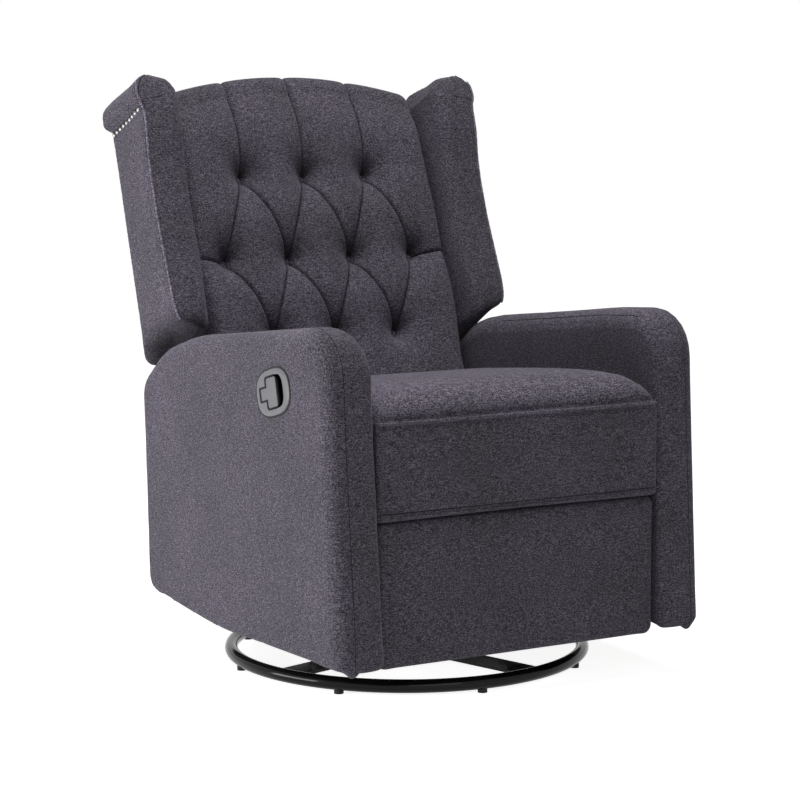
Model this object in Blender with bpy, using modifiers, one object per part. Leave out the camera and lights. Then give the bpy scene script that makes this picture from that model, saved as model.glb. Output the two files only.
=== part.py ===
"""Wing-back swivel rocker recliner with a button-tufted back, in metres, +Z up, front toward -Y.

The origin lies on the floor under the swivel. Left and right are the sitter's own, so left is +X.
"""

import math

import bmesh
import bpy
from mathutils import Matrix, Vector

GAP = 0.0003
RUN_GAP = 0.0006

# Ring base, which stands turned under the chair
BASE_TURN = math.radians(-29.0)
RING_R = 0.3110
RING_TUBE_R = 0.0115
RING_SIDES = 48
GLIDES = 8
GLIDE_R = 0.0082
GLIDE_H = 0.0052
GLIDE_SADDLE = 0.0045
BAR_WIDTH = 0.054
BAR_T = 0.0050
HUB_R = 0.095

# Swivel bearing and the two rocker brackets above it
SWIVEL_PLATE_T = 0.0231
SWIVEL_PLATE_R = 0.088
KINGPIN_R = 0.016
RACE_IN = 0.052
RACE_OUT = 0.080
RACE_H = 0.0100
TOP_PLATE_HALF = 0.138
TOP_PLATE_T = 0.0050
TOP_PLATE_ROUND = 0.030
ROCK_RISE = 0.048
BRACKET_X = 0.090
BRACKET_T = 0.005
BRACKET_FOOT = 0.036
BRACKET_BASE = 0.130
ROCK_PIN_R = 0.008
ROCK_BOSS_R = 0.015
SPRING_X = 0.119
SPRING_Y = 0.105
SPRING_R = 0.0125
SPRING_WIRE_R = 0.0018
SPRING_TURNS = 5

# Chassis rails and cross tubes
RAIL_LENGTH = 0.44
RAIL_RISE = 0.046
RAIL_T = 0.005
RAIL_DEPTH = 0.028
RAIL_FLANGE = 0.046
TUBE_W = 0.025
TUBE_H = 0.030
TUBE_WALL = 0.003
TUBE_FRONT_Y = -0.070
TUBE_REAR_Y = 0.100

# Seat: frame, wire deck and crowned cushion
SEAT_HALF = 0.268
SEAT_FRONT_Y = -0.375
SEAT_LIP_Z = 0.315
SEAT_LIP_T = 0.030
SEAT_PIPE_Z = 0.471
SEAT_CROWN = 0.0545
SEAT_TILT = 0.044
SEAT_FRONT_BULGE = 0.005
SEAT_REAR_LOW_Y = 0.132
SEAT_REAR_TOP_Y = 0.155
FRAME_CLEAR = 0.006
FRAME_H = 0.040
FRAME_RAIL = 0.042
FRAME_REAR_Y = 0.125
DECK_WIRE_R = 0.0020
DECK_RUNS = 3
DECK_PITCH = 0.125
DECK_SWING = 0.044
DECK_BENDS = 8

# Footrest linkage in the plane of the side plates
MECH_INSET = 0.042
LINK_T = 0.004
LINK_HALF = 0.0095
DRIVE_HALF = 0.0115
RIVET_R = 0.0050
RIVET_HEAD_R = 0.0080
RIVET_HEAD_T = 0.0020
DRIVE_TUBE_R = 0.0080
DRIVE_LENGTH = 0.180
DRIVE_STOWED = math.radians(-105.0)
OTTOMAN_REACH = (0.147, 0.143)
CONTROL_OFFSET = 0.050
CONTROL_ANGLE = math.radians(-150.0)
SUPPORT_OFFSET = 0.035
SUPPORT_ANGLE = math.radians(-91.0)
PIVOT_SETBACK = 0.057
PIVOT_DROP = 0.0495
PLATE_FRONT = 0.028
PLATE_FOOT = 0.040
PLATE_NECK = 0.045

# Footrest panel
PAD_TOP_Z = 0.312
PAD_HEIGHT = 0.2355
PAD_CLEAR = 0.002
PAD_T = 0.030
PAD_CROWN = 0.004
PAD_CORNER = 0.014
BOARD_T = 0.012
BOARD_INSET = 0.010
FLANGE_T = 0.003
FLANGE_W = 0.024
FLANGE_UP = 0.030
FLANGE_DOWN = 0.070

# Arms
ARM_CLEAR = 0.005
ARM_WIDTH = 0.084
ARM_TOP_Z = 0.632
ARM_TOP_SLOPE = math.radians(6.3)
ARM_TOP_FRONT_Y = -0.360
ARM_LOW_FRONT_Y = -0.392
ARM_LOW_Y = 0.020
ARM_LOW_Z = 0.0800
ARM_TOE_RISE = 0.0100
ARM_HEEL_RISE = 0.026
ARM_REAR_TOP_Y = 0.343
ARM_REAR_LOW_Y = 0.328
ARM_SHOULDER_Y = 0.225
ARM_SHOULDER_SLOPE = math.radians(38.0)
ARM_FRONT_ROUND = 0.080
ARM_SHOULDER_ROUND = 0.220
ARM_NAPE_ROUND = 0.055
ARM_HEEL_ROUND = 0.038
ARM_BELLY_ROUND = 1.200
ARM_TOE_ROUND = 0.010
ARM_IN_EDGE = 0.032
ARM_OUT_EDGE = 0.024
ARM_PADDING = 0.019
ARM_BOARD_T = 0.030
ARM_BOARD_INSET = 0.026
ARM_BOARD_RECESS = 0.002
ARM_GLIDE_R = 0.010
ARM_GLIDE_DROP = 0.008
ARM_GLIDE_DEEP = 0.010
ARM_GLIDE_SETBACK = 0.055
REAR_RAIL_T = 0.022
REAR_RAIL_Y = 0.295
REAR_RAIL_LOW_Z = 0.105
REAR_RAIL_TOP_Z = 0.272
REAR_RAIL_ROUND = 0.004

# Release handle on the right arm
HANDLE_Y = -0.190
HANDLE_Z = 0.509
HANDLE_TILT = math.radians(14.0)
BEZEL_LONG = 0.114
BEZEL_TALL = 0.075
BEZEL_LIP = 0.0035
BEZEL_RIM = 0.007
BEZEL_DEEP = 0.024
WELL_DEEP = 0.019
WELL_SLOT = 0.024
LEVER_T = 0.006
LEVER_HEAD_W = 0.034
LEVER_HEAD_H = 0.050
LEVER_STEM_W = 0.022
LEVER_STEM_H = 0.020
LEVER_ROUND = 0.005
WELL_ROUND = 0.018
LEVER_CLEAR = 0.0020
LEVER_PIN_R = 0.0022
LEVER_PIN_OUT = 0.0030

# Back: hinge, board, tufted cushion and wings
HINGE_Y = 0.240
HINGE_Z = 0.360
HINGE_PIN_R = 0.008
HINGE_PIN_LENGTH = 0.034
HINGE_PLATE_T = 0.003
HINGE_PLATE_W = 0.030
HINGE_PLATE_TOP = 0.140
BACK_LEAN = math.radians(23.5)
REAR_LEAN = math.radians(15.75)
BACK_CLEAR = 0.002
BACK_LOW = -0.030
BACK_REAR = 0.0614
PANEL_T = 0.008
BACK_BOARD_T = 0.022
BACK_BOARD_RAIL = 0.060
BACK_BOARD_TOP = 0.585
PANEL_ROUND = 0.010
BACK_TOP = 0.691
BACK_TOP_CROWN = 0.57
BACK_TOP_ROUND = 0.040
TUFT_N = 0.057
TUFT_BULGE = 0.037
TUFT_PITCH = 0.130
TUFT_ROWS = ((0.175, 3), (0.326, 4), (0.488, 3))
TUFT_SIZE = 0.036
PLEAT_DEEP = 0.40
PLEAT_SIZE = 0.013
PLEAT_FADE = 0.14
BACK_SIDE_ROUND = 0.026
WING_T = 0.0785
WING_LOW = 0.171
WING_LOW_TILT = 0.13
WING_LOW_FADE = 0.120
WING_FRONT = 0.134
WING_FLARE = 0.30
WING_WAIST = 0.40
WING_IN_ROUND = 0.024
WING_OUT_ROUND = 0.010
EAR_LOW = 0.585
EAR_R = 0.038
EAR_FRONT_OUT = 0.007
EAR_REAR_OUT = 0.016
EAR_CREST = 0.043
EAR_TILT = 0.085
EAR_TWIST = 0.30
NAILS = 7
NAIL_R = 0.0052
NAIL_DROP = 0.012
NAIL_STRIP_W = 0.006
NAIL_STRIP_T = 0.0012
NAIL_MARGIN = 0.016

# Derived levels and places
ring_z = GLIDE_H + RING_TUBE_R
bar_z = ring_z - BAR_T
race_plate_z = bar_z + BAR_T + GAP
race_z = race_plate_z + SWIVEL_PLATE_T + GAP
top_plate_z = race_z + RACE_H + GAP
rocker_z = top_plate_z + TOP_PLATE_T + GAP
rock_axis_z = rocker_z + ROCK_RISE
flange_z = rock_axis_z + RAIL_RISE
tube_z = flange_z + RAIL_T + GAP
plate_low_z = tube_z + TUBE_H + GAP
frame_z = SEAT_LIP_Z + GAP
cushion_z = frame_z + FRAME_H + GAP
rail_x = BRACKET_X + BRACKET_T + RUN_GAP
arm_in = SEAT_HALF + ARM_CLEAR
frame_half = SEAT_HALF - FRAME_CLEAR
back_half = SEAT_HALF - BACK_CLEAR
pad_half = SEAT_HALF - PAD_CLEAR
mech_x = frame_half - MECH_INSET
arm_out = arm_in + ARM_WIDTH
layer_b = mech_x + LINK_T + RUN_GAP
layer_c = layer_b + LINK_T + RUN_GAP
hinge = Vector((0.0, HINGE_Y, HINGE_Z))
taper = BACK_LEAN - REAR_LEAN
wing_in = back_half + GAP
wing_out = wing_in + WING_T

# The footrest's pivots when stowed, as (y, z) in the plane of the links
pad_rear_y = SEAT_FRONT_Y + PAD_T
board_rear_y = pad_rear_y + GAP + BOARD_T


def polar(length, angle):
    """An (y, z) step of that length, where 0 points forward and 90 degrees up."""
    return Vector((-length * math.cos(angle), length * math.sin(angle)))


pivot_q = Vector((SEAT_FRONT_Y + PIVOT_SETBACK, PAD_TOP_Z - PIVOT_DROP))
pivot_k = pivot_q - Vector((-OTTOMAN_REACH[0], OTTOMAN_REACH[1]))
pivot_p = pivot_k - polar(DRIVE_LENGTH, DRIVE_STOWED)
control_step = polar(CONTROL_OFFSET, CONTROL_ANGLE)
support_step = polar(SUPPORT_OFFSET, SUPPORT_ANGLE)
pivot_c = pivot_p + control_step
pivot_m = pivot_k + control_step
pivot_e = pivot_k + support_step
pivot_s = pivot_q + support_step

for leftover in list(bpy.data.objects):
    bpy.data.objects.remove(leftover, do_unlink=True)
parts = bpy.data.collections.new("wing_recliner")
cutters = bpy.data.collections.new("cutters")
for group in (parts, cutters):
    bpy.context.scene.collection.children.link(group)


def look(name, colour, roughness, metallic=0.0):
    material = bpy.data.materials.new(name)
    material.use_nodes = True
    shader = material.node_tree.nodes["Principled BSDF"]
    shader.inputs["Base Color"].default_value = (*colour, 1.0)
    shader.inputs["Roughness"].default_value = roughness
    shader.inputs["Metallic"].default_value = metallic
    material.diffuse_color = (*colour, 1.0)
    return material


GLOSS_BLACK = ((0.012, 0.012, 0.013), 0.25, 0.0)
STEEL = ((0.16, 0.16, 0.17), 0.45, 1.0)
WIRE = ((0.30, 0.30, 0.31), 0.35, 1.0)
TIMBER = ((0.55, 0.40, 0.24), 0.65, 0.0)
CLOTH = ((0.085, 0.078, 0.090), 0.90, 0.0)
GREY_PLASTIC = ((0.32, 0.32, 0.34), 0.45, 0.0)
RUBBER = ((0.015, 0.015, 0.015), 0.70, 0.0)
SILVER = ((0.72, 0.72, 0.70), 0.22, 1.0)


def mesh_of(bm, name):
    bmesh.ops.remove_doubles(bm, verts=bm.verts[:], dist=1e-6)
    bmesh.ops.recalc_face_normals(bm, faces=bm.faces[:])
    mesh = bpy.data.meshes.new(name)
    bm.to_mesh(mesh)
    bm.free()
    return mesh


def part(name, mesh, finish, origin=(0.0, 0.0, 0.0), turn=0.0, local=False):
    """A named piece with its origin on its joint; a local mesh is already drawn about that origin."""
    obj = bpy.data.objects.new(name, mesh)
    if not local:
        mesh.transform(Matrix.Translation(-Vector(origin)))
    obj.location = origin
    obj.rotation_euler = (turn, 0.0, 0.0)
    mesh.materials.clear()
    mesh.materials.append(look(name, *finish))
    mesh.shade_smooth()
    mesh.set_sharp_from_angle(angle=math.radians(35.0))
    parts.objects.link(obj)
    return obj


def helper(name, mesh):
    obj = bpy.data.objects.new(name, mesh)
    obj.hide_render = True
    obj.display_type = "WIRE"
    cutters.objects.link(obj)
    return obj


def combine(obj, other, operation="DIFFERENCE"):
    modifier = obj.modifiers.new(operation.lower() + "_" + other.name, "BOOLEAN")
    modifier.operation = operation
    modifier.solver = "EXACT"
    modifier.object = other


def rounded(obj, width, segments=2):
    modifier = obj.modifiers.new("rounding", "BEVEL")
    modifier.width = width
    modifier.segments = segments
    modifier.limit_method = "ANGLE"
    modifier.angle_limit = math.radians(40.0)


def sided(mesh, side):
    """The mesh as drawn for the left, or its mirror image for the right."""
    if side < 0:
        mesh.transform(Matrix.Scale(-1.0, 4, (1.0, 0.0, 0.0)))
        mesh.flip_normals()
    return mesh


def box(name, low, high):
    bm = bmesh.new()
    size = Vector(high) - Vector(low)
    place = Matrix.Translation((Vector(low) + Vector(high)) / 2) @ Matrix.Diagonal((*size, 1.0))
    bmesh.ops.create_cube(bm, size=1.0, matrix=place)
    return mesh_of(bm, name)


AXES = {
    "X": Matrix(((0, 0, 1, 0), (1, 0, 0, 0), (0, 1, 0, 0), (0, 0, 0, 1))),
    "Y": Matrix(((0, 1, 0, 0), (0, 0, 1, 0), (1, 0, 0, 0), (0, 0, 0, 1))),
    "Z": Matrix.Identity(4),
}


def cylinder(name, axis, centre, radius, low, high, sides=16):
    """A cylinder along an axis, from low to high on it; centre gives the other two coordinates."""
    bm = bmesh.new()
    place = AXES[axis] @ Matrix.Translation((centre[0], centre[1], (low + high) / 2))
    bmesh.ops.create_cone(
        bm, cap_ends=True, segments=sides, radius1=radius, radius2=radius, depth=high - low, matrix=place
    )
    return mesh_of(bm, name)


def evaluated(obj, name):
    """The object's finished mesh in world space; the object itself is then removed."""
    bpy.context.view_layer.update()
    graph = bpy.context.evaluated_depsgraph_get()
    mesh = bpy.data.meshes.new_from_object(obj.evaluated_get(graph))
    mesh.transform(obj.matrix_world)
    bpy.data.objects.remove(obj, do_unlink=True)
    bm = bmesh.new()
    bm.from_mesh(mesh)
    return mesh_of(bm, name)


def flat(name, outlines, axis, low, high):
    """A plate with any holes, from closed outlines across the axis, between low and high on it."""
    curve = bpy.data.curves.new(name + "_outline", "CURVE")
    curve.dimensions = "2D"
    curve.fill_mode = "BOTH"
    curve.extrude = (high - low) / 2
    for outline in outlines:
        spline = curve.splines.new("POLY")
        spline.points.add(len(outline) - 1)
        for point, place in zip(spline.points, outline):
            point.co = (place[0], place[1], 0.0, 1.0)
        spline.use_cyclic_u = True
    obj = bpy.data.objects.new(curve.name, curve)
    obj.matrix_world = AXES[axis] @ Matrix.Translation((0.0, 0.0, (low + high) / 2))
    cutters.objects.link(obj)
    return evaluated(obj, name)


def wire(name, points, radius):
    """A round wire through the points."""
    curve = bpy.data.curves.new(name + "_path", "CURVE")
    curve.dimensions = "3D"
    curve.bevel_depth = radius
    curve.bevel_resolution = 1
    curve.use_fill_caps = True
    spline = curve.splines.new("POLY")
    spline.points.add(len(points) - 1)
    for point, place in zip(spline.points, points):
        point.co = (*place, 1.0)
    obj = bpy.data.objects.new(curve.name, curve)
    cutters.objects.link(obj)
    return evaluated(obj, name)


def least_gap(name, points, radius):
    """Prints the least distance between turns of a wire that don't follow each other."""
    reach = 3.2 * radius
    places = [Vector(p) for p in points]
    along = [0.0]
    for a, b in zip(places, places[1:]):
        along.append(along[-1] + (b - a).length)
    least = math.inf
    for i, a in enumerate(places):
        for j in range(i + 1, len(places)):
            if along[j] - along[i] > 2 * reach:
                least = min(least, (places[j] - a).length)
    print(f"{name}: least gap between turns {1000 * (least - 2 * radius):.2f} mm")


def loft(name, rings):
    """A closed skin over rings of as many points each, capped at both ends."""
    bm = bmesh.new()
    skins = [[bm.verts.new(place) for place in ring] for ring in rings]
    count = len(rings[0])
    for a, b in zip(skins, skins[1:]):
        for i in range(count):
            j = (i + 1) % count
            bm.faces.new((a[i], a[j], b[j], b[i]))
    bm.faces.new(skins[0])
    bm.faces.new(skins[-1])
    return mesh_of(bm, name)


def turned(name, profile, finish, steps=24, closed=False):
    """A Screw about Z of a profile of (radius, height) points, which runs from top to bottom."""
    bm = bmesh.new()
    spots = [bm.verts.new((r, 0.0, z)) for r, z in profile]
    pairs = list(zip(spots, spots[1:]))
    if closed:
        pairs.append((spots[-1], spots[0]))
    for pair in pairs:
        bm.edges.new(pair)
    mesh = bpy.data.meshes.new(name)
    bm.to_mesh(mesh)
    bm.free()
    obj = part(name, mesh, finish)
    screw = obj.modifiers.new("turned", "SCREW")
    screw.steps = steps
    screw.render_steps = steps
    screw.use_merge_vertices = True
    screw.merge_threshold = 1e-5
    screw.use_smooth_shade = True
    return obj


def circle(centre, radius, sides=16):
    u, v = centre
    angles = [2 * math.pi * i / sides for i in range(sides)]
    return [(u + radius * math.cos(a), v + radius * math.sin(a)) for a in angles]


def filleted(corners, steps=4):
    """An outline with rounded corners, given as (u, v, radius); steps is one count, or one per corner."""
    outline = []
    for i, (u, v, radius) in enumerate(corners):
        count = steps if isinstance(steps, int) else steps[i]
        here = Vector((u, v))
        before = (Vector(corners[i - 1][:2]) - here).normalized()
        after = (Vector(corners[(i + 1) % len(corners)][:2]) - here).normalized()
        if radius <= 0.0:
            outline.append(tuple(here))
            continue
        half = before.angle(after) / 2
        centre = here + (before + after).normalized() * (radius / math.sin(half))
        start = here + before * (radius / math.tan(half)) - centre
        swing = start.angle_signed(here + after * (radius / math.tan(half)) - centre)
        for k in range(count + 1):
            turn = Matrix.Rotation(-swing * k / count, 2)
            outline.append(tuple(centre + turn @ start))
    return outline


def bar(pivots, half, steps=6):
    """The outline of a flat link with round ends, through two or three pivots in line order."""
    pivots = [Vector(p) for p in pivots]
    outline = []
    for chain in (pivots, pivots[::-1]):
        for i in range(1, len(chain)):
            along = (chain[i] - chain[i - 1]).normalized()
            normal = Vector((along.y, -along.x))
            if i < len(chain) - 1:
                onward = (chain[i + 1] - chain[i]).normalized()
                mitre = (normal + Vector((onward.y, -onward.x))).normalized()
                outline.append(tuple(chain[i] + mitre * (half / mitre.dot(normal))))
                continue
            for k in range(steps + 1):
                angle = math.pi * k / steps
                outline.append(tuple(chain[i] + half * (math.cos(angle) * normal + math.sin(angle) * along)))
    return outline


def rivet(name, centre, low, high):
    """A pin along X with a round head just past high."""
    sides = 12
    rings = []
    step = 2 * math.pi / sides
    for x, radius in (
        (low, RIVET_R),
        (high + GAP, RIVET_R),
        (high + GAP, RIVET_HEAD_R),
        (high + GAP + RIVET_HEAD_T / 2, RIVET_HEAD_R),
        (high + GAP + RIVET_HEAD_T, 0.6 * RIVET_HEAD_R),
    ):
        rings.append(
            [
                (x, centre[0] + radius * math.cos(i * step), centre[1] + radius * math.sin(i * step))
                for i in range(sides)
            ]
        )
    return loft(name, rings)


SIDES = ((1, "left"), (-1, "right"))

# Ring base: a bent steel tube standing on eight saddle-topped glides.
bpy.ops.mesh.primitive_torus_add(
    major_segments=RING_SIDES,
    minor_segments=10,
    major_radius=RING_R,
    minor_radius=RING_TUBE_R,
    location=(0.0, 0.0, ring_z),
)
ring = bpy.context.active_object
part("base_ring", evaluated(ring, "base_ring"), GLOSS_BLACK)

bpy.ops.mesh.primitive_torus_add(
    major_segments=RING_SIDES,
    minor_segments=10,
    major_radius=RING_R,
    minor_radius=RING_TUBE_R + GAP,
    location=(0.0, 0.0, ring_z),
)
saddle = helper("glide_saddle", evaluated(bpy.context.active_object, "glide_saddle"))
blank = helper(
    "glide_blank", cylinder("glide_blank", "Z", (RING_R, 0.0), GLIDE_R, 0.0, GLIDE_H + GLIDE_SADDLE, 12)
)
combine(blank, saddle)
glide_mesh = evaluated(blank, "base_glide")
for index in range(GLIDES):
    turn = BASE_TURN + 2 * math.pi * (index + 0.5) / GLIDES
    mesh = glide_mesh.copy()
    mesh.transform(Matrix.Rotation(turn, 4, "Z"))
    part(f"base_glide_{index + 1}", mesh, RUBBER)

# Flat steel cross bars inside the ring, joined at a round hub plate and cut as one piece.
reach = (RING_R - RING_TUBE_R) * math.cos(math.pi / RING_SIDES) - GAP
bar_half = BAR_WIDTH / 2
root = math.asin(bar_half / HUB_R)
tip = math.asin(bar_half / reach)
hub_steps = 5
spider_corners = []
for arm in range(4):
    turn = BASE_TURN + math.radians(45.0) + arm * math.pi / 2
    for k in range(5):
        angle = turn + tip * (k / 2 - 1.0)
        spider_corners.append((reach * math.cos(angle), reach * math.sin(angle)))
    for k in range(hub_steps + 1):
        angle = turn + root + (math.pi / 2 - 2 * root) * k / hub_steps
        spider_corners.append((HUB_R * math.cos(angle), HUB_R * math.sin(angle)))
mesh = flat("base_spider", [spider_corners], "Z", bar_z, bar_z + BAR_T)
part("base_spider", mesh, GLOSS_BLACK)

# Swivel: a lower race plate with its kingpin, a ball race, and the square plate that turns on it.
pin_top = top_plate_z + TOP_PLATE_T
turned(
    "swivel_lower_plate",
    [
        (0.0, pin_top),
        (KINGPIN_R - 0.002, pin_top),
        (KINGPIN_R, pin_top - 0.002),
        (KINGPIN_R, race_plate_z + SWIVEL_PLATE_T),
        (SWIVEL_PLATE_R, race_plate_z + SWIVEL_PLATE_T),
        (SWIVEL_PLATE_R, race_plate_z),
        (0.0, race_plate_z),
    ],
    STEEL,
)
race_waist = 0.004
turned(
    "swivel_bearing",
    [
        (RACE_IN, race_z + RACE_H),
        (RACE_OUT, race_z + RACE_H),
        (RACE_OUT, race_z + 0.7 * RACE_H),
        (RACE_OUT - race_waist, race_z + 0.5 * RACE_H),
        (RACE_OUT, race_z + 0.3 * RACE_H),
        (RACE_OUT, race_z),
        (RACE_IN, race_z),
        (RACE_IN, race_z + 0.3 * RACE_H),
        (RACE_IN + race_waist, race_z + 0.5 * RACE_H),
        (RACE_IN, race_z + 0.7 * RACE_H),
    ],
    WIRE,
    closed=True,
)
half = TOP_PLATE_HALF
square = [(-half, -half), (half, -half), (half, half), (-half, half)]
plate_outline = filleted([(*corner, TOP_PLATE_ROUND) for corner in square], 4)
part(
    "swivel_upper_plate",
    flat(
        "swivel_upper_plate",
        [plate_outline, circle((0.0, 0.0), KINGPIN_R + RUN_GAP, 32)],
        "Z",
        top_plate_z,
        top_plate_z + TOP_PLATE_T,
    ),
    STEEL,
)

# Rocker: upright brackets with a pivot pin each, a rail that swings on each pin, and four coil springs.
rock_axis = (0.0, 0.0, rock_axis_z)
for side, label in SIDES:
    upright = filleted(
        [
            (-BRACKET_BASE / 2, rocker_z, 0.0),
            (BRACKET_BASE / 2, rocker_z, 0.0),
            (BRACKET_BASE / 2, rocker_z + BRACKET_T, 0.0),
            (ROCK_BOSS_R, rock_axis_z + ROCK_BOSS_R, 0.8 * ROCK_BOSS_R),
            (-ROCK_BOSS_R, rock_axis_z + ROCK_BOSS_R, 0.8 * ROCK_BOSS_R),
            (-BRACKET_BASE / 2, rocker_z + BRACKET_T, 0.0),
        ]
    )
    name = f"rocker_bracket_{label}"
    mesh = flat(name, [upright], "X", BRACKET_X, BRACKET_X + BRACKET_T)
    bracket = part(name, sided(mesh, side), STEEL)
    foot = box(
        f"bracket_foot_{label}",
        (BRACKET_X + BRACKET_T / 2 - BRACKET_FOOT, -BRACKET_BASE / 2, rocker_z),
        (BRACKET_X + BRACKET_T / 2, BRACKET_BASE / 2, rocker_z + BRACKET_T),
    )
    combine(bracket, helper(foot.name, sided(foot, side)), "UNION")
    pin = cylinder(
        f"rock_pin_{label}",
        "X",
        (0.0, rock_axis_z),
        ROCK_PIN_R,
        BRACKET_X + BRACKET_T / 2,
        rail_x + RAIL_T + 0.004,
    )
    combine(bracket, helper(pin.name, sided(pin, side)), "UNION")

    name = f"base_rail_{label}"
    web_low = flange_z + RAIL_T - RAIL_DEPTH
    lug = ROCK_BOSS_R + 0.004
    web = filleted(
        [
            (-RAIL_LENGTH / 2, web_low, 0.004),
            (-0.050, web_low, 0.020),
            (-lug, rock_axis_z - lug, 0.7 * lug),
            (lug, rock_axis_z - lug, 0.7 * lug),
            (0.050, web_low, 0.020),
            (RAIL_LENGTH / 2, web_low, 0.004),
            (RAIL_LENGTH / 2, flange_z + RAIL_T, 0.0),
            (-RAIL_LENGTH / 2, flange_z + RAIL_T, 0.0),
        ],
        4,
    )
    bore = circle((0.0, rock_axis_z), ROCK_PIN_R + RUN_GAP)
    mesh = flat(name, [web, bore], "X", rail_x, rail_x + RAIL_T)
    rail = part(name, sided(mesh, side), STEEL, rock_axis)
    ledge = box(
        f"rail_flange_{label}",
        (rail_x + RAIL_T / 2, -RAIL_LENGTH / 2, flange_z),
        (rail_x + RAIL_FLANGE, RAIL_LENGTH / 2, flange_z + RAIL_T),
    )
    combine(rail, helper(ledge.name, sided(ledge, side)), "UNION")

    for end, end_label in ((-1, "front"), (1, "rear")):
        low = top_plate_z + TOP_PLATE_T + GAP + SPRING_WIRE_R
        rise = flange_z - GAP - SPRING_WIRE_R - low
        turns = 8 * SPRING_TURNS
        coil = []
        for i in range(turns + 1):
            angle = 2 * math.pi * i / 8
            coil.append(
                (
                    SPRING_X + SPRING_R * math.cos(angle),
                    end * (SPRING_Y + SPRING_R * math.sin(angle)),
                    low + rise * i / turns,
                )
            )
        name = f"rocker_spring_{end_label}_{label}"
        least_gap(name, coil, SPRING_WIRE_R)
        part(name, sided(wire(name, coil, SPRING_WIRE_R), side), WIRE)

# Two square cross tubes over the rails, which carry the arms and the seat plates.
for label, y in (("front", TUBE_FRONT_Y), ("rear", TUBE_REAR_Y)):
    name = f"cross_tube_{label}"
    outer = [
        (y - TUBE_W / 2, tube_z, 0.004),
        (y + TUBE_W / 2, tube_z, 0.004),
        (y + TUBE_W / 2, tube_z + TUBE_H, 0.004),
        (y - TUBE_W / 2, tube_z + TUBE_H, 0.004),
    ]
    inner = [
        (y - TUBE_W / 2 + TUBE_WALL, tube_z + TUBE_WALL),
        (y + TUBE_W / 2 - TUBE_WALL, tube_z + TUBE_WALL),
        (y + TUBE_W / 2 - TUBE_WALL, tube_z + TUBE_H - TUBE_WALL),
        (y - TUBE_W / 2 + TUBE_WALL, tube_z + TUBE_H - TUBE_WALL),
    ]
    mesh = flat(name, [filleted(outer, 3), inner], "X", -arm_in + GAP, arm_in - GAP)
    part(name, mesh, STEEL, rock_axis)

# Seat: a timber frame, a wire deck bent from one length in sinuous runs, and the crowned cushion.
frame_front_y = SEAT_FRONT_Y + SEAT_LIP_T + GAP
frame_corner = 0.012
frame_outline = filleted(
    [
        (-frame_half, frame_front_y, frame_corner),
        (frame_half, frame_front_y, frame_corner),
        (frame_half, FRAME_REAR_Y, frame_corner),
        (-frame_half, FRAME_REAR_Y, frame_corner),
    ],
    3,
)
deck_half = frame_half - FRAME_RAIL
deck_front_y = frame_front_y + FRAME_RAIL
deck_rear_y = FRAME_REAR_Y - FRAME_RAIL
deck_outline = filleted(
    [
        (-deck_half, deck_front_y, frame_corner),
        (deck_half, deck_front_y, frame_corner),
        (deck_half, deck_rear_y, frame_corner),
        (-deck_half, deck_rear_y, frame_corner),
    ],
    3,
)
part(
    "seat_frame",
    flat("seat_frame", [frame_outline, deck_outline], "Z", frame_z, frame_z + FRAME_H),
    TIMBER,
    rock_axis,
)

first_y = deck_front_y + DECK_WIRE_R + GAP
last_y = deck_rear_y - DECK_WIRE_R - GAP
bend = (last_y - first_y) / (2 * DECK_BENDS)
deck_path = []
for run in range(DECK_RUNS):
    centre_x = (run - (DECK_RUNS - 1) / 2) * DECK_PITCH
    leg = []
    for i in range(DECK_BENDS):
        hand = 1 if i % 2 == 0 else -1
        middle_y = first_y + (2 * i + 1) * bend
        for k in range(4):
            angle = math.pi * (k / 3 - 0.5)
            leg.append(
                (
                    centre_x + hand * (DECK_SWING - bend + bend * math.cos(angle)),
                    middle_y + bend * math.sin(angle),
                    frame_z + FRAME_H - DECK_WIRE_R,
                )
            )
    deck_path += leg if run % 2 == 0 else leg[::-1]
least_gap("seat_spring_deck", deck_path, DECK_WIRE_R)
part("seat_spring_deck", wire("seat_spring_deck", deck_path, DECK_WIRE_R), WIRE, rock_axis)


def seat_section(x):
    """The cushion across X: a hanging front lip, boxed front, waterfall crown and raked rear end."""
    share = min(1.0, abs(x) / SEAT_HALF)
    crown = SEAT_CROWN * (1.0 - share**10) ** 0.6
    bulge = SEAT_FRONT_BULGE * (1.0 - share**4)
    lip_y = SEAT_FRONT_Y + SEAT_LIP_T
    lip_round = 0.006
    outline = [
        (SEAT_REAR_LOW_Y, cushion_z),
        (lip_y, cushion_z),
        (lip_y, SEAT_LIP_Z),
        (SEAT_FRONT_Y + lip_round, SEAT_LIP_Z),
        (SEAT_FRONT_Y, SEAT_LIP_Z + lip_round),
    ]
    drop = SEAT_PIPE_Z - SEAT_LIP_Z
    for share_z in (0.3, 0.55, 0.8):
        swell = bulge * math.sin(math.pi * share_z)
        outline.append((SEAT_FRONT_Y - swell, SEAT_LIP_Z + share_z * drop))
    outline.append((SEAT_FRONT_Y, SEAT_PIPE_Z))
    depth = SEAT_REAR_TOP_Y - SEAT_FRONT_Y
    for share_y in (0.012, 0.04, 0.09, 0.17, 0.30, 0.45, 0.60, 0.74, 0.86, 0.94, 0.985):
        swell = crown * (1.0 - abs(2.0 * share_y - 1.0) ** 8) ** 0.5
        outline.append((SEAT_FRONT_Y + share_y * depth, SEAT_PIPE_Z - SEAT_TILT * share_y + swell))
    outline.append((SEAT_REAR_TOP_Y, SEAT_PIPE_Z - SEAT_TILT))
    return [(x, y, z) for y, z in outline]


seat_stations = (0.0, 0.16, 0.32, 0.48, 0.63, 0.76, 0.86, 0.93, 0.975, 1.0)
spread = [-s for s in seat_stations[:0:-1]] + list(seat_stations)
mesh = loft("seat_cushion", [seat_section(s * SEAT_HALF) for s in spread])
part("seat_cushion", mesh, CLOTH, rock_axis)

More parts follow.
